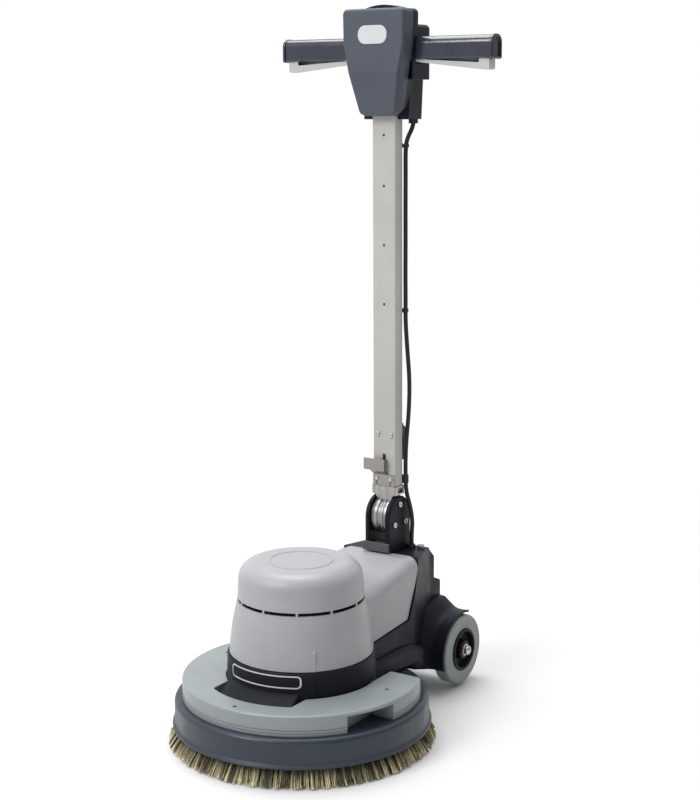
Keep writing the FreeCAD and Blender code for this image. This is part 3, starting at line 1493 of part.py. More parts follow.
def trigger_switches():
    """A snap switch under each trigger's tail."""
    switches = []
    for side in SIDES:
        body = box(sorted((side * 34, side * 56)), (GRIP_Y - 6, GRIP_Y + 6), (1078, 1092))
        plunger = upright(1.6, (1092, 1096.1), (side * 53, GRIP_Y))
        switches.append(join([body, plunger]))
    return Part.makeCompound(switches)


def interlock_button():
    """The round safety button on the back of the head."""
    cap = along_y(7.0, (299.0, 315.0), 0, 1128)
    cap = rounded(cap, 1.5, lambda edge: edge.CenterOfMass.y > 314)
    collar = along_y(10.0, (296.0, 301.5), 0, 1128)
    return join([cap, collar])


def head_glands():
    """Glands under the head: one for the motor cable and one for the mains lead."""
    motor_gland = upright(8.0, (997.0, 1004.0), HEAD_GLAND_AT)
    motor_gland = motor_gland.cut(upright(5.2, (980, 1020), HEAD_GLAND_AT))
    flange = upright(11.5, (996.0, 1004.0), MAINS_GLAND_AT)
    mains = join([flange, upright(8.9, (1000.0, 1012.0), MAINS_GLAND_AT)])
    mains = mains.cut(upright(5.0, (980, 1020), MAINS_GLAND_AT))
    return Part.makeCompound([motor_gland, mains])


def cable_ties():
    """Straps that hold the cable against the back of the tube; the lowest is a longer clip."""
    back = TUBE_Y + TUBE_HALF_Y
    ties = []
    for run, z, height in CABLE_TIES:
        above, below = Vector(*CABLE_UPPER_ROUTE[run]), Vector(*CABLE_UPPER_ROUTE[run + 1])
        share = (above.z - z) / (above.z - below.z)
        middle = above + (below - above) * share
        centre = (middle.x, middle.y)
        span = (z - height / 2, z + height / 2)
        strap = upright(CABLE_DIAMETER / 2 + 1.4, span, centre)
        hole = upright(CABLE_DIAMETER / 2 + 0.35, (span[0] - 1, span[1] + 1), centre)
        pad = box((12, 22), (back, back + 3), (span[0] - 1.5, span[1] + 1.5))
        bridge = box((16, 24), (back + 0.2, back + 3), span)
        ties.append(join([strap, pad, bridge]).cut(hole))
    return Part.makeCompound(ties)


# ---------------------------------------------------------------- output


def build():
    nodes = {
        "bristle_ring": bristle_ring(),
        "brush_block": brush_block(),
        "drive_plate": drive_plate(),
        "output_shaft": output_shaft(),
        "planet_carrier": planet_carrier(),
        "ring_gear": ring_gear(),
        "rotor_shaft": rotor_shaft(),
        "rotor_core": rotor_core(),
        "cooling_fan": cooling_fan(),
        "stator_core": stator_core(),
        "stator_winding": stator_winding(),
        "motor_frame": motor_frame(),
        "ball_bearings": ball_bearings(),
        "fan_cowl": fan_cowl(),
        "gearbox_housing": gearbox_housing(),
        "deck_ring": deck_ring(),
        "stabiliser_weight": stabiliser_weight(),
        "base_screws": together(weight_screws(), ear_screws()),
        "chassis": chassis(),
        "chassis_bolts": chassis_bolts(),
        "motor_cover": motor_cover(),
        "start_gear": together(start_capacitor(), terminal_box()),
        "base_gland": base_gland(),
        "front_pad": front_pad(),
        "front_badge": front_badge(),
        "axle": axle(),
        "axle_nuts": axle_nuts(),
        "pivot_drum": pivot_drum(),
        "knuckle": knuckle(),
        "handle_tube": handle_tube(),
        "tube_screws": tube_screws(),
        "cord_hook": cord_hook(),
        "release_plate": release_plate(),
        "lock_pawl": lock_pawl(),
        "pawl_spring": pawl_spring(),
        "head_front_cover": head_front_cover(),
        "head_badge": head_badge(),
        "head_rear_shell": head_rear_shell(),
        "handlebar": handlebar(),
        "trigger_pivots": together(trigger_pins(), trigger_springs()),
        "trigger_switches": trigger_switches(),
        "interlock_button": interlock_button(),
        "head_glands": head_glands(),
        "cable_upper": cable(CABLE_UPPER_ROUTE),
        "cable_flex": cable(CABLE_FLEX_ROUTE),
        "cable_lower": cable(CABLE_LOWER_ROUTE),
        "cable_ties": cable_ties(),
    }
    for index in range(PLANETS):
        nodes["planet_gear_%d" % (index + 1)] = planet_gear(index)
    for name, side in (("left", -1), ("right", 1)):
        nodes["ear_" + name] = ear(side)
        nodes["hub_" + name] = wheel_hub(side)
        nodes["tyre_" + name] = wheel_tyre(side)
        nodes["grip_" + name] = grip(side)
        nodes["trigger_" + name] = trigger(side)
    return nodes


os.makedirs("parts", exist_ok=True)
for name, shape in build().items():
    if not shape.isValid():
        print("not valid: " + name)
    print("%-20s solids %d volume %.0f" % (name, len(shape.Solids), shape.Volume))
    shape.exportStep("parts/" + name + ".step")
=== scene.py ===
"""Looks for a rotary floor machine with a 450 mm scrubbing brush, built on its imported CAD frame.

Metres. The origin is on the floor below the brush spindle, -Y is the front, +Z is up.
"""

import math
import random

import bpy
import numpy as np
from mathutils import Matrix, Vector


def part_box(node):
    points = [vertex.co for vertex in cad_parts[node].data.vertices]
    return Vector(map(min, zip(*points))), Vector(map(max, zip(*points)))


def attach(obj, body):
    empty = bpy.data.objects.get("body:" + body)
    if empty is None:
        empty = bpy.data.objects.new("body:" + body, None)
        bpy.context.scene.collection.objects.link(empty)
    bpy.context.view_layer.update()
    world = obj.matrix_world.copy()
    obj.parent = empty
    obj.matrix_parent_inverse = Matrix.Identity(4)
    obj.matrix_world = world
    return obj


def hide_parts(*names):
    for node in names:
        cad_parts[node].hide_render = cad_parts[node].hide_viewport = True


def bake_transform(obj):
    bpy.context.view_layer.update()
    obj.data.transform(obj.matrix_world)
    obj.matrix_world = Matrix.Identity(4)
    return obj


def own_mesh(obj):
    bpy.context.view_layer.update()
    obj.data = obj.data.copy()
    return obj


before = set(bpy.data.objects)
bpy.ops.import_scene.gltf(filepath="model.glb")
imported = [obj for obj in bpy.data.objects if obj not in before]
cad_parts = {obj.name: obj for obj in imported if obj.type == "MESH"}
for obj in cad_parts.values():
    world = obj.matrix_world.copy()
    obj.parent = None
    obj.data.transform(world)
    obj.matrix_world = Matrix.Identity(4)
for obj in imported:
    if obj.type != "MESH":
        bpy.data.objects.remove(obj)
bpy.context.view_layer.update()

SEED = 7

# Camera: position, turn about the vertical, pitch down, roll and focal length on a 36 mm sensor
CAMERA_AT = (1.452, -2.0467, 1.0402)
CAMERA_TURN = 33.483
CAMERA_PITCH = 10.714
CAMERA_ROLL = -0.332
CAMERA_LENS = 71.91

# Brush fibres
BRUSH_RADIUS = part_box("bristle_ring")[1].x
BRUSH_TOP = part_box("brush_block")[0].z
BRUSH_ROOT_RADIUS = 0.1975
BRUSH_BORE_RADIUS = 0.102
TUFT_PITCH = 0.0088
ROW_PITCH = 0.0085
OUTER_ROWS = 3
OUTER_STRANDS = 20
INNER_STRANDS = 9
OUTER_STEPS = 3
INNER_STEPS = 1

# How the tufts splay: how far inside the rim they aim, how much less each row inwards leans out,
# and how far a tuft strays round its ring, sideways and outwards
TIP_MARGIN = 0.0025
RIM_MARGIN = 0.0008
ROW_UPRIGHT = 0.22
TUFT_STRAY = 0.12
TUFT_LEAN = 0.0018
SPLAY_RANGE = (0.78, 1.08)

# Fibres: how wide a tuft is at its roots and tips, outwards and sideways, and each fibre's own width and tone
CLUMP = 3
ROOT_SPREAD = (0.0022, 0.0024)
TIP_SPREAD = (0.005, 0.0062)
ROOT_LIFT = 0.0004
TIP_LIFT = 0.0006
FIBRE_WIDTH = (0.0008, 0.0013)
LIGHT_SHARE = (0.35, 0.75)
LIGHT_TONE = (0.6, 1.0)
DARK_TONE = (0.0, 0.16)

# Motor cable where it bends with the handle: the route of the CAD solid it stands for
CABLE_DIAMETER = 0.0075
CABLE_FLEX_ROUTE = (
    (0.0258, 0.2858, 0.374),
    (0.0261, 0.286, 0.359),
    (0.033, 0.289, 0.333),
    (0.0364, 0.2914, 0.306),
    (0.0335, 0.293, 0.281),
    (0.0335, 0.293, 0.262),
)

# The coil inside the tube, above the lock pawl: its seat stays, and the pawl takes its lower end up
TUBE_Y = 0.268
SPRING_RADIUS = 0.0032
SPRING_WIRE = 0.0012
SPRING_TURNS = 6
SPRING_STEPS = 12
SPRING_LOW_Z = 0.4303
SPRING_SEAT_Z = 0.459

# Finishes: radius of softened edges, and the size and depth of the surface's grain
MOULDED_EDGE = 0.0009
PAINTED_EDGE = 0.0011
GRAIN_SCALE = 900
PEEL_SCALE = 420
PEEL_DEPTH = 0.00005

# Nodes whose finish differs from the rest of their slot
NODE_FINISHES = {
    "release_plate": "wing_steel",
    "chassis_bolts": "bolt_steel",
    "head_rear_shell": "shell_plastic",
}

# Stage: the floor's size, level and colour, where it fades into the backdrop, and the light from all round
FLOOR_HALF = 40.0
FLOOR_DROP = -0.0006
FLOOR_COLOUR = (0.67, 0.67, 0.67)
FLOOR_FADE = (0.7, 2.6)
FLOOR_GLOW = 0.9
SKY_BRIGHT_SIDE = (-0.5, 0.1, 0.75)
SKY_TURNS_AT = (-0.75, 0.85)
SKY_DIM = 0.03
SKY_BRIGHT = 1.0

# Soft boxes: name, place, the point they face, size and power
SOFT_BOXES = (
    ("key", (-0.95, -2.55, 2.65), (0, 0, 0.45), 1.4, 64),
    ("top", (-0.5, 0.5, 2.9), (0, 0, 0.3), 1.8, 60),
)

# ---------------------------------------------------------------- materials


class Look:
    """One material: a Principled shader, and short calls that put texture nodes in front of it."""

    def __init__(self, name, roughness, metallic=0.0, specular=0.5):
        self.material = bpy.data.materials.new(name)
        self.material.use_nodes = True
        tree = self.material.node_tree
        self.nodes = tree.nodes
        self.links = tree.links
        self.shader = tree.nodes["Principled BSDF"]
        self.shader.inputs["Roughness"].default_value = roughness
        self.shader.inputs["Metallic"].default_value = metallic
        self.shader.inputs["Specular IOR Level"].default_value = specular
        self.place = self.nodes.new("ShaderNodeTexCoord").outputs["Object"]
        self.relief = None

    def put(self, socket, value):
        """Sets a socket to a number, a colour or another node's output."""
        if isinstance(value, bpy.types.NodeSocket):
            self.links.new(value, socket)
        elif isinstance(value, tuple) and len(value) == 3 and socket.type == "RGBA":
            socket.default_value = (*value, 1.0)
        else:
            socket.default_value = value

    def maths(self, operation, first, second):
        """Two numbers put together by an operation."""
        node = self.nodes.new("ShaderNodeMath")
        node.operation = operation
        self.put(node.inputs[0], first)
        self.put(node.inputs[1], second)
        return node.outputs[0]

    def stretched(self, scale):
        """The place in the part's frame, scaled by a different number along each axis."""
        node = self.nodes.new("ShaderNodeMapping")
        self.put(node.inputs["Vector"], self.place)
        node.inputs["Scale"].default_value = scale
        return node.outputs["Vector"]

    def noise(self, scale, detail=2.0, stretch=None, roughness=0.5):
        """Cloudy noise from 0 to 1, with a feature size of about one over scale."""
        node = self.nodes.new("ShaderNodeTexNoise")
        self.put(node.inputs["Vector"], self.stretched(stretch) if stretch else self.place)
        node.inputs["Scale"].default_value = scale
        node.inputs["Detail"].default_value = detail
        node.inputs["Roughness"].default_value = roughness
        return node.outputs["Fac"]

    def ramp(self, value, low, high, start=0.0, end=1.0):
        """Value from low to high becomes start to end, smoothly and without going past them."""
        node = self.nodes.new("ShaderNodeMapRange")
        node.interpolation_type = "SMOOTHSTEP"
        self.put(node.inputs["Value"], value)
        node.inputs["From Min"].default_value = low
        node.inputs["From Max"].default_value = high
        node.inputs["To Min"].default_value = start
        node.inputs["To Max"].default_value = end
        return node.outputs["Result"]

    def mix(self, share, first, second):
        """First turns into second as share goes from 0 to 1."""
        node = self.nodes.new("ShaderNodeMix")
        node.data_type = "RGBA"
        self.put(node.inputs["Factor"], share)
        self.put(node.inputs[6], first)
        self.put(node.inputs[7], second)
        return node.outputs[2]

    def edges(self, radius):
        """1 on sharp outer edges and corners, 0 on flat faces."""
        bevel = self.nodes.new("ShaderNodeBevel")
        bevel.samples = 4
        bevel.inputs["Radius"].default_value = radius
        geometry = self.nodes.new("ShaderNodeNewGeometry")
        dot = self.nodes.new("ShaderNodeVectorMath")
        dot.operation = "DOT_PRODUCT"
        self.put(dot.inputs[0], bevel.outputs["Normal"])
        self.put(dot.inputs[1], geometry.outputs["Normal"])
        return self.ramp(dot.outputs["Value"], 0.98, 0.8)

    def soft_edges(self, radius):
        """Rounds how sharp edges catch the light."""
        bevel = self.nodes.new("ShaderNodeBevel")
        bevel.samples = 4
        bevel.inputs["Radius"].default_value = radius
        self.relief = bevel.outputs["Normal"]

    def painted_hollow_shade(self, distance):
        """1 in narrow gaps and inner corners, where shade falls, 0 in the open; used to paint shade into a
        colour.
        """
        node = self.nodes.new("ShaderNodeAmbientOcclusion")
        node.samples = 6
        node.inputs["Distance"].default_value = distance
        return self.ramp(node.outputs["AO"], 0.75, 0.15)

    def bump(self, height, distance):
        """Adds relief from a height; distance is the height in metres of a full step."""
        node = self.nodes.new("ShaderNodeBump")
        node.inputs["Strength"].default_value = 1.0
        node.inputs["Distance"].default_value = distance
        self.put(node.inputs["Height"], height)
        if self.relief is not None:
            self.put(node.inputs["Normal"], self.relief)
        self.relief = node.outputs["Normal"]

    def done(self, colour, roughness=None):
        """Connects colour, roughness and relief to the shader, and gives the material."""
        self.put(self.shader.inputs["Base Color"], colour)
        if roughness is not None:
            self.put(self.shader.inputs["Roughness"], roughness)
        if self.relief is not None:
            self.put(self.shader.inputs["Normal"], self.relief)
        return self.material


def shade(colour, factor):
    """The same colour, lighter or darker."""
    return tuple(min(1.0, channel * factor) for channel in colour)


def moulded(name, colour, roughness, grain=0.00006, specular=0.5, edge_wear_and_highlight=1.35):
    """Moulded plastic: a fine grain, faint flow clouding, edges lighter as polish wear and painted highlight,
    and painted shade in the gaps.
    """
    look = Look(name, roughness, specular=specular)
    look.soft_edges(MOULDED_EDGE)
    clouds = look.ramp(look.noise(14, 4), 0.3, 0.7)
    colour_now = look.mix(clouds, shade(colour, 0.95), shade(colour, 1.05))
    specks = look.ramp(look.noise(GRAIN_SCALE, 2), 0.35, 0.65)
    colour_now = look.mix(specks, colour_now, look.mix(0.5, colour_now, shade(colour, 1.12)))
    # Edges lighter: partly polish wear, partly a painted highlight.
    colour_now = look.mix(look.edges(MOULDED_EDGE * 1.6), colour_now, shade(colour, edge_wear_and_highlight))
    # Painted shade: darker in gaps and inner corners, where less light reaches.
    colour_now = look.mix(look.painted_hollow_shade(0.006), colour_now, shade(colour, 0.62))
    look.bump(look.noise(GRAIN_SCALE, 3, roughness=0.6), grain)
    look.bump(look.noise(60, 2), 0.0002)
    gloss = look.ramp(look.noise(35, 3), 0.3, 0.7, roughness - 0.05, roughness + 0.06)
    return look.done(colour_now, gloss)


def painted(name, colour, roughness, specular=0.5, edge_wear_and_highlight=1.5):
    """Powder coat: orange peel, faint clouding, edges lighter in patches where the coat is thin and as
    painted highlight, and painted shade in the gaps.
    """
    look = Look(name, roughness, specular=specular)
    look.soft_edges(PAINTED_EDGE)
    clouds = look.ramp(look.noise(9, 5, roughness=0.6), 0.3, 0.7)
    colour_now = look.mix(clouds, shade(colour, 0.94), shade(colour, 1.05))
    flecks = look.ramp(look.noise(1300, 1), 0.5, 0.75)
    colour_now = look.mix(look.maths("MULTIPLY", flecks, 0.4), colour_now, shade(colour, 1.3))
    patchy = look.ramp(look.noise(70, 4), 0.35, 0.6, 0.35, 1.0)
    # Edges lighter in patches: partly a worn thin coat, partly a painted highlight.
    worn_and_lit_edges = look.maths("MULTIPLY", look.edges(PAINTED_EDGE * 1.3), patchy)
    colour_now = look.mix(worn_and_lit_edges, colour_now, shade(colour, edge_wear_and_highlight))
    # Painted shade: darker in gaps and inner corners, where less light reaches.
    colour_now = look.mix(look.painted_hollow_shade(0.008), colour_now, shade(colour, 0.6))
    look.bump(look.noise(PEEL_SCALE, 2), PEEL_DEPTH)
    scuffs = look.ramp(look.noise(24, 4), 0.3, 0.7, roughness - 0.06, roughness + 0.07)
    return look.done(colour_now, scuffs)


def metal(name, colour, roughness, brushed):
    """Bare metal: fine tool marks along one axis, and slightly duller, darker patches."""
    look = Look(name, roughness, metallic=1.0)
    look.soft_edges(0.0005)
    marks = look.noise(1, 3, stretch=brushed)
    patches = look.ramp(look.noise(30, 3), 0.3, 0.7)
    colour_now = look.mix(patches, shade(colour, 0.9), colour)
    colour_now = look.mix(look.ramp(marks, 0.3, 0.7), shade(colour, 0.9), colour_now)
    # Painted shade: darker in gaps and inner corners, where less light reaches.
    colour_now = look.mix(look.painted_hollow_shade(0.003), colour_now, shade(colour, 0.35))
    look.bump(marks, 0.00002)
    gloss = look.ramp(marks, 0.3, 0.7, roughness - 0.06, roughness + 0.1)
    return look.done(colour_now, gloss)


def rubber(name, colour, roughness, scuff=1.25):
    """Vulcanised rubber: a dull bloom, fine pits and scuffs round the wheel."""
    look = Look(name, roughness, specular=0.35)
    look.soft_edges(0.0012)
    bloom = look.ramp(look.noise(30, 5, roughness=0.6), 0.3, 0.7)
    colour_now = look.mix(bloom, shade(colour, 0.88), shade(colour, 1.08))
    pits = look.ramp(look.noise(700, 2), 0.55, 0.75)
    colour_now = look.mix(look.maths("MULTIPLY", pits, 0.5), colour_now, shade(colour, 0.75))
    colour_now = look.mix(look.edges(0.002), colour_now, shade(colour, scuff))
    # Painted shade: darker in gaps and inner corners, where less light reaches.
    colour_now = look.mix(look.painted_hollow_shade(0.008), colour_now, shade(colour, 0.5))
    look.bump(look.noise(700, 3), 0.00008)
    look.bump(look.noise(110, 2), 0.0001)
    return look.done(colour_now, look.ramp(bloom, 0, 1, roughness - 0.08, roughness + 0.05))


def fibre(name, dark, light, root):
    """Brush fibre: each one its own tone, darker towards the root as painted shade under the block, with fine
    lengthwise lines.
    """
    look = Look(name, 0.62, specular=0.3)
    tone = look.nodes.new("ShaderNodeAttribute")
    tone.attribute_name = "tone"
    colour_now = look.mix(tone.outputs["Fac"], dark, light)
    split = look.nodes.new("ShaderNodeSeparateXYZ")
    look.put(split.inputs[0], look.place)
    # Painted shade: fibres darken towards the root, in the shade under the brush block.
    rise = look.ramp(split.outputs["Z"], 0.004, 0.031)
    colour_now = look.mix(rise, colour_now, look.mix(0.72, colour_now, root))
    lines = look.noise(1, 3, stretch=(1500, 1500, 120))
    colour_now = look.mix(look.ramp(lines, 0.4, 0.7, 0.0, 0.5), colour_now, shade(dark, 0.7))
    look.bump(lines, 0.0001)
    return look.done(colour_now, look.ramp(lines, 0.3, 0.7, 0.5, 0.75))


def laminated(name, colour):
    """A stack of stamped sheets, seen as fine level lines."""
    look = Look(name, 0.5, metallic=0.85)
    lines = look.noise(1, 1, stretch=(3, 3, 1800))
    rust = look.ramp(look.noise(80, 4), 0.45, 0.75)
    colour_now = look.mix(look.ramp(lines, 0.35, 0.65), shade(colour, 0.6), colour)
    colour_now = look.mix(look.maths("MULTIPLY", rust, 0.4), colour_now, (0.16, 0.09, 0.05))
    look.bump(lines, 0.0001)
    return look.done(colour_now, look.ramp(rust, 0, 1, 0.42, 0.62))


def wound(name, colour):
    """Varnished copper wire, as fine strands with darker resin between them."""
    look = Look(name, 0.32, metallic=0.9)
    strands = look.noise(1, 2, stretch=(250, 250, 1400))
    resin = look.ramp(look.noise(120, 3), 0.4, 0.7)
    colour_now = look.mix(look.ramp(strands, 0.35, 0.65), shade(colour, 0.35), colour)
    colour_now = look.mix(look.maths("MULTIPLY", resin, 0.5), colour_now, (0.12, 0.03, 0.01))
    look.bump(strands, 0.0002)
    return look.done(colour_now, look.ramp(resin, 0, 1, 0.25, 0.5))


def turned_alloy(name, colour):
    """Die-cast alloy, turned on its outside: level bands on a slightly grainy casting."""
    look = Look(name, 0.3, metallic=1.0)
    look.soft_edges(0.0006)
    bands = look.noise(1, 2, stretch=(420, 2, 2))
    casting = look.noise(500, 3)
    patches = look.ramp(look.noise(25, 3), 0.3, 0.7)
    colour_now = look.mix(patches, shade(colour, 0.9), colour)
    colour_now = look.mix(look.ramp(bands, 0.35, 0.65, 0.0, 0.8), colour_now, shade(colour, 0.62))
    # Painted shade: darker in gaps and inner corners, where less light reaches.
    colour_now = look.mix(look.painted_hollow_shade(0.005), colour_now, shade(colour, 0.25))
    look.bump(bands, 0.00005)
    look.bump(casting, 0.00002)
    return look.done(colour_now, look.ramp(casting, 0.3, 0.7, 0.3, 0.42))


def make_materials():
    """Every finish of the part, by its name."""
    finishes = (
        moulded("cover_plastic", (0.3, 0.307, 0.32), 0.38, edge_wear_and_highlight=1.12),
        moulded("chassis_plastic", (0.0085, 0.0103, 0.0155), 0.42, 0.00004, specular=0.12, edge_wear_and_highlight=2.2),
        painted("deck_paint", (0.022, 0.03, 0.045), 0.36, edge_wear_and_highlight=2.6, specular=0.42),
        painted("weight_paint", (0.222, 0.246, 0.253), 0.38, edge_wear_and_highlight=1.3),
        painted("tube_paint", (0.4, 0.395, 0.375), 0.4, edge_wear_and_highlight=1.2),
        metal("bright_steel", (0.6, 0.59, 0.57), 0.3, (90, 900, 900)),
        metal("wing_steel", (0.34, 0.325, 0.305), 0.38, (900, 900, 60)),
        metal("bolt_steel", (0.3, 0.3, 0.3), 0.42, (500, 500, 60)),
        turned_alloy("cast_alloy", (0.47, 0.46, 0.455)),
        moulded("head_plastic", (0.064, 0.071, 0.092), 0.5, 0.00005, specular=0.24, edge_wear_and_highlight=1.7),
        moulded("shell_plastic", (0.009, 0.012, 0.019), 0.34, 0.00003, specular=0.15, edge_wear_and_highlight=2.6),
        moulded("grip_plastic", (0.018, 0.022, 0.034), 0.15, 0.00001, specular=0.75, edge_wear_and_highlight=2.0),
        moulded("trigger_plastic", (0.42, 0.42, 0.44), 0.38, edge_wear_and_highlight=1.1),
        moulded("badge_plastic", (0.5, 0.51, 0.53), 0.4, edge_wear_and_highlight=1.1),
        moulded("hub_plastic", (0.005, 0.005, 0.006), 0.45, specular=0.18, edge_wear_and_highlight=2.0),
        rubber("tyre_rubber", (0.25, 0.28, 0.262), 0.6),
        rubber("pad_rubber", (0.075, 0.082, 0.088), 0.6),
        rubber("cable_sheath", (0.012, 0.012, 0.014), 0.5, scuff=2.0),
        # The last colour is the painted shade at the fibres' roots.
        fibre("bristle_fibre", (0.024, 0.015, 0.006), (1.0, 0.9, 0.57), (0.02, 0.015, 0.007)),
        moulded("block_plastic", (0.06, 0.055, 0.05), 0.5),
        metal("gear_steel", (0.45, 0.45, 0.46), 0.3, (600, 600, 60)),
        laminated("core_iron", (0.24, 0.24, 0.25)),
        wound("copper_winding", (0.72, 0.3, 0.12)),
        metal("bearing_steel", (0.7, 0.7, 0.72), 0.16, (60, 60, 1200)),
        moulded("inner_plastic", (0.012, 0.012, 0.014), 0.5, edge_wear_and_highlight=1.6, specular=0.4),
    )
    return {plain_name(material): material for material in finishes}


def plain_name(material):
    """A material's name without the number that tells it from another of the same name."""
    return material.name.split(".")[0]


# ---------------------------------------------------------------- pieces


def smooth(piece, angle):
    """Shades a mesh smooth, but for edges sharper than an angle."""
    piece.data.polygons.foreach_set("use_smooth", [True] * len(piece.data.polygons))
    piece.data.set_sharp_from_angle(angle=math.radians(angle))


def strand(points, faces, tones, rng, root, tip, bow, width, tone, steps):
    """One fibre: a three-sided tapering prism from root to tip, bowed outwards, with closed ends."""
    first = len(points)
    sides = 3
    along = (tip - root).normalized()
    across = along.cross(Vector((0, 0, 1)))
    across = across.normalized() if across.length > 1e-6 else Vector((1, 0, 0))
    beside = along.cross(across)
    start_angle = rng.uniform(0, math.tau)
    for step in range(steps + 1):
        share = step / steps
        centre = root.lerp(tip, share) + bow * (4 * share * (1 - share))
        half = width * (1 - 0.35 * share) / 2
        for side in range(sides):
            angle = start_angle + math.tau * side / sides
            points.append(centre + (across * math.cos(angle) + beside * math.sin(angle)) * half)
            # Painted shade as well: each fibre's tone is darker at its root than at its tip.
            tones.append(tone * (0.85 + 0.3 * share))
    for step in range(steps):
        for side in range(sides):
            low = first + step * sides + side
            lower_next = first + step * sides + (side + 1) % sides
            faces.append((low, lower_next, lower_next + sides, low + sides))
    faces.append((first + 2, first + 1, first))
    last = first + steps * sides
    faces.append((last, last + 1, last + 2))


def brush_rows(name, rows, strands_per_tuft, steps, material, rng):
    """Rings of tufts. The outer rows splay outwards, and every fibre leans and ends a little differently."""
    points = []
    faces = []
    tones = []
    for row in rows:
        root_radius = BRUSH_ROOT_RADIUS - row * ROW_PITCH
        count = max(8, round(math.tau * root_radius / TUFT_PITCH))
        outward = (BRUSH_RADIUS - TIP_MARGIN - BRUSH_ROOT_RADIUS) * max(0.0, 1 - row * ROW_UPRIGHT)
        for tuft in range(count):
            angle = math.tau * (tuft + 0.5 * (row % 2) + rng.uniform(-TUFT_STRAY, TUFT_STRAY)) / count
            radial = Vector((math.cos(angle), math.sin(angle), 0))
            sideways = Vector((-math.sin(angle), math.cos(angle), 0))
            lean = rng.gauss(0, TUFT_LEAN)
            splay = outward * rng.uniform(*SPLAY_RANGE)
            light_share = rng.uniform(*LIGHT_SHARE)
            for index in range(strands_per_tuft):
                if index % CLUMP == 0:
                    clump_turn = rng.uniform(0, math.tau)
                    clump_spread = math.sqrt(rng.random())
                    light_clump = rng.random() < light_share
                    clump_short = abs(rng.gauss(0, 0.0012))
                turn = clump_turn + rng.gauss(0, 0.22)
                spread = clump_spread + rng.gauss(0, 0.06)
                off = (math.cos(turn) * spread, math.sin(turn) * spread)
                root = radial * (root_radius + off[0] * ROOT_SPREAD[0])
                root += sideways * (off[1] * ROOT_SPREAD[1])
                root.z = BRUSH_TOP + ROOT_LIFT
                tip = radial * (root_radius + splay + off[0] * TIP_SPREAD[0])
                tip += sideways * (off[1] * TIP_SPREAD[1] + lean)
                tip += Vector((rng.gauss(0, 0.0007), rng.gauss(0, 0.0007), 0))
                tip.z = abs(rng.gauss(0, 0.0008)) + clump_short + TIP_LIFT
                reach = math.hypot(tip.x, tip.y)
                if reach > BRUSH_RADIUS - RIM_MARGIN:
                    tip.xy = tip.xy * ((BRUSH_RADIUS - RIM_MARGIN) / reach)
                bow = radial * rng.gauss(0.0004, 0.0009) + sideways * rng.gauss(0, 0.0008)
                tone = rng.uniform(*LIGHT_TONE) if light_clump else rng.uniform(*DARK_TONE)
                width = rng.uniform(*FIBRE_WIDTH)
                strand(points, faces, tones, rng, root, tip, bow, width, tone, steps)
    mesh = bpy.data.meshes.new(name)
    mesh.from_pydata(points, [], faces)
    mesh.materials.append(material)
    attribute = mesh.attributes.new("tone", "FLOAT", "POINT")
    attribute.data.foreach_set("value", np.array(tones, np.float32))
    piece = bpy.data.objects.new(name, mesh)
    bpy.context.collection.objects.link(piece)
    smooth(piece, 80)
    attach(piece, "brush")
    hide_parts("bristle_ring")


def make_brush(materials):
    """Fibres in place of the plain ring that stands for them in the frame."""
    rng = random.Random(SEED)
    row_count = int((BRUSH_ROOT_RADIUS - BRUSH_BORE_RADIUS) / ROW_PITCH)
    fibres = materials["bristle_fibre"]
    brush_rows("bristles_outer", range(OUTER_ROWS), OUTER_STRANDS, OUTER_STEPS, fibres, rng)
    inner_rows = range(OUTER_ROWS, row_count)
    brush_rows("bristles_inner", inner_rows, INNER_STRANDS, INNER_STEPS, fibres, rng)


def tube_along(route, diameter, name, along, around):
    """A round tube with closed ends along a smooth line whose control points are the route."""
    curve = bpy.data.curves.new(name + "_line", "CURVE")
    curve.dimensions = "3D"
    spline = curve.splines.new("NURBS")
    spline.points.add(len(route) - 1)
    for point, place in zip(spline.points, route):
        point.co = (*place, 1.0)
    spline.order_u = 3
    spline.use_endpoint_u = True
    curve.resolution_u = along
    curve.bevel_depth = diameter / 2
    curve.bevel_resolution = around
    curve.use_fill_caps = True
    holder = bpy.data.objects.new(name + "_line", curve)
    bpy.context.collection.objects.link(holder)
    mesh = bpy.data.meshes.new_from_object(holder)
    bpy.data.objects.remove(holder)
    piece = bpy.data.objects.new(name, mesh)
    bpy.context.collection.objects.link(piece)
    return piece


def make_cable_bend(materials):
    """The stretch of motor cable that bends as the handle tilts."""
    piece = tube_along(CABLE_FLEX_ROUTE, CABLE_DIAMETER, "cable_bend", along=12, around=6)
    piece.data.materials.append(materials["cable_sheath"])
    smooth(piece, 60)
    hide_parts("cable_flex")
    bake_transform(piece)


def make_pawl_spring(materials):
    """The coil above the pawl, which shortens as the pawl lifts."""
    steps = SPRING_TURNS * SPRING_STEPS
    low = SPRING_LOW_Z + SPRING_WIRE / 2
    rise = SPRING_SEAT_Z - SPRING_WIRE / 2 - low
    route = []
    for step in range(steps + 1):
        angle = math.tau * step / SPRING_STEPS
        x = SPRING_RADIUS * math.cos(angle)
        y = TUBE_Y + SPRING_RADIUS * math.sin(angle)
        route.append((x, y, low + rise * step / steps))
    piece = tube_along(route, SPRING_WIRE, "pawl_coil", along=3, around=2)
    piece.data.materials.append(materials["bright_steel"])
    smooth(piece, 60)
    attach(piece, "handle")
    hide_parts("pawl_spring")
    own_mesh(piece)


# ---------------------------------------------------------------- stage


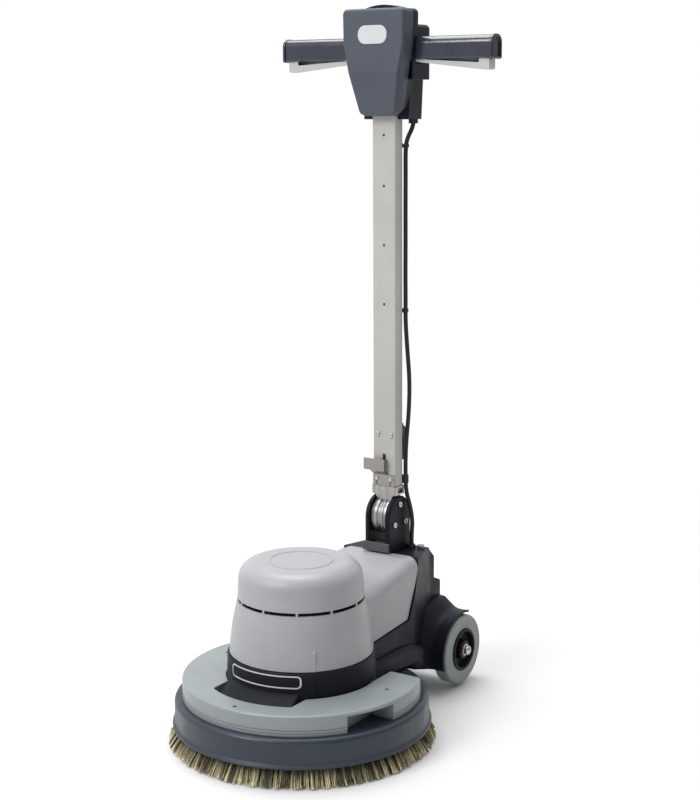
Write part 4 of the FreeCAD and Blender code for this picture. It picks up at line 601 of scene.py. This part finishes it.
def make_camera():
    """The camera, in front of the machine and on its +X side."""
    camera = bpy.data.objects.new("camera", bpy.data.cameras.new("camera"))
    bpy.context.collection.objects.link(camera)
    turn = Matrix.Rotation(math.radians(CAMERA_TURN), 4, "Z")
    pitch = Matrix.Rotation(math.radians(90 - CAMERA_PITCH), 4, "X")
    roll = Matrix.Rotation(math.radians(CAMERA_ROLL), 4, "Z")
    camera.matrix_world = Matrix.Translation(CAMERA_AT) @ turn @ pitch @ roll
    camera.data.lens = CAMERA_LENS
    camera.data.sensor_width = 36
    camera.data.clip_end = 200
    bpy.context.scene.camera = camera


def make_light(name, place, aim, size, power):
    """A square soft box that faces a point."""
    light = bpy.data.lights.new(name, "AREA")
    light.size = size
    light.energy = power
    holder = bpy.data.objects.new(name, light)
    holder.location = place
    holder.rotation_euler = (Vector(aim) - Vector(place)).to_track_quat("-Z", "Y").to_euler()
    bpy.context.collection.objects.link(holder)


def make_floor():
    """A pale floor that brightens into the backdrop a few metres out, so that no horizon shows."""
    mesh = bpy.data.meshes.new("floor")
    half = FLOOR_HALF
    corners = ((-half, -half), (half, -half), (half, half), (-half, half))
    mesh.from_pydata([(x, y, FLOOR_DROP) for x, y in corners], [], [(0, 1, 2, 3)])
    floor = bpy.data.objects.new("floor", mesh)
    bpy.context.collection.objects.link(floor)
    look = Look("floor", 0.9, specular=0.05)
    distance = look.nodes.new("ShaderNodeVectorMath")
    distance.operation = "LENGTH"
    look.put(distance.inputs[0], look.place)
    fade = look.ramp(distance.outputs["Value"], *FLOOR_FADE)
    look.put(look.shader.inputs["Emission Color"], look.mix(fade, (0.0, 0.0, 0.0), (1.0, 1.0, 1.0)))
    look.shader.inputs["Emission Strength"].default_value = FLOOR_GLOW
    mesh.materials.append(look.done(look.mix(fade, FLOOR_COLOUR, (0.1, 0.1, 0.1))))


def make_world():
    """A backdrop that the camera sees as white, and that lights the part mostly from the left and above."""
    world = bpy.data.worlds.new("studio")
    world.use_nodes = True
    nodes = world.node_tree.nodes
    links = world.node_tree.links
    sky = nodes["Background"]
    sky.inputs["Color"].default_value = (1.0, 1.0, 1.0, 1.0)
    place = nodes.new("ShaderNodeTexCoord")
    towards = nodes.new("ShaderNodeVectorMath")
    towards.operation = "DOT_PRODUCT"
    links.new(place.outputs["Generated"], towards.inputs[0])
    towards.inputs[1].default_value = Vector(SKY_BRIGHT_SIDE).normalized()
    glow = nodes.new("ShaderNodeMapRange")
    glow.interpolation_type = "SMOOTHSTEP"
    glow.inputs["From Min"].default_value = SKY_TURNS_AT[0]
    glow.inputs["From Max"].default_value = SKY_TURNS_AT[1]
    glow.inputs["To Min"].default_value = SKY_DIM
    glow.inputs["To Max"].default_value = SKY_BRIGHT
    links.new(towards.outputs["Value"], glow.inputs["Value"])
    rays = nodes.new("ShaderNodeLightPath")
    seen = nodes.new("ShaderNodeMix")
    links.new(rays.outputs["Is Camera Ray"], seen.inputs["Factor"])
    links.new(glow.outputs["Result"], seen.inputs[2])
    seen.inputs[3].default_value = 1.0
    links.new(seen.outputs[0], sky.inputs["Strength"])
    bpy.context.scene.world = world


def make_stage():
    """Floor, backdrop and soft boxes."""
    make_floor()
    make_world()
    for soft_box in SOFT_BOXES:
        make_light(*soft_box)
    bpy.context.scene.view_settings.view_transform = "Standard"


# ---------------------------------------------------------------- the scene

make_camera()
make_stage()
MATERIALS = make_materials()
for node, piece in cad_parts.items():
    for held in piece.material_slots:
        held.material = MATERIALS[NODE_FINISHES.get(node, plain_name(held.material))]
make_brush(MATERIALS)
make_cable_bend(MATERIALS)
make_pawl_spring(MATERIALS)
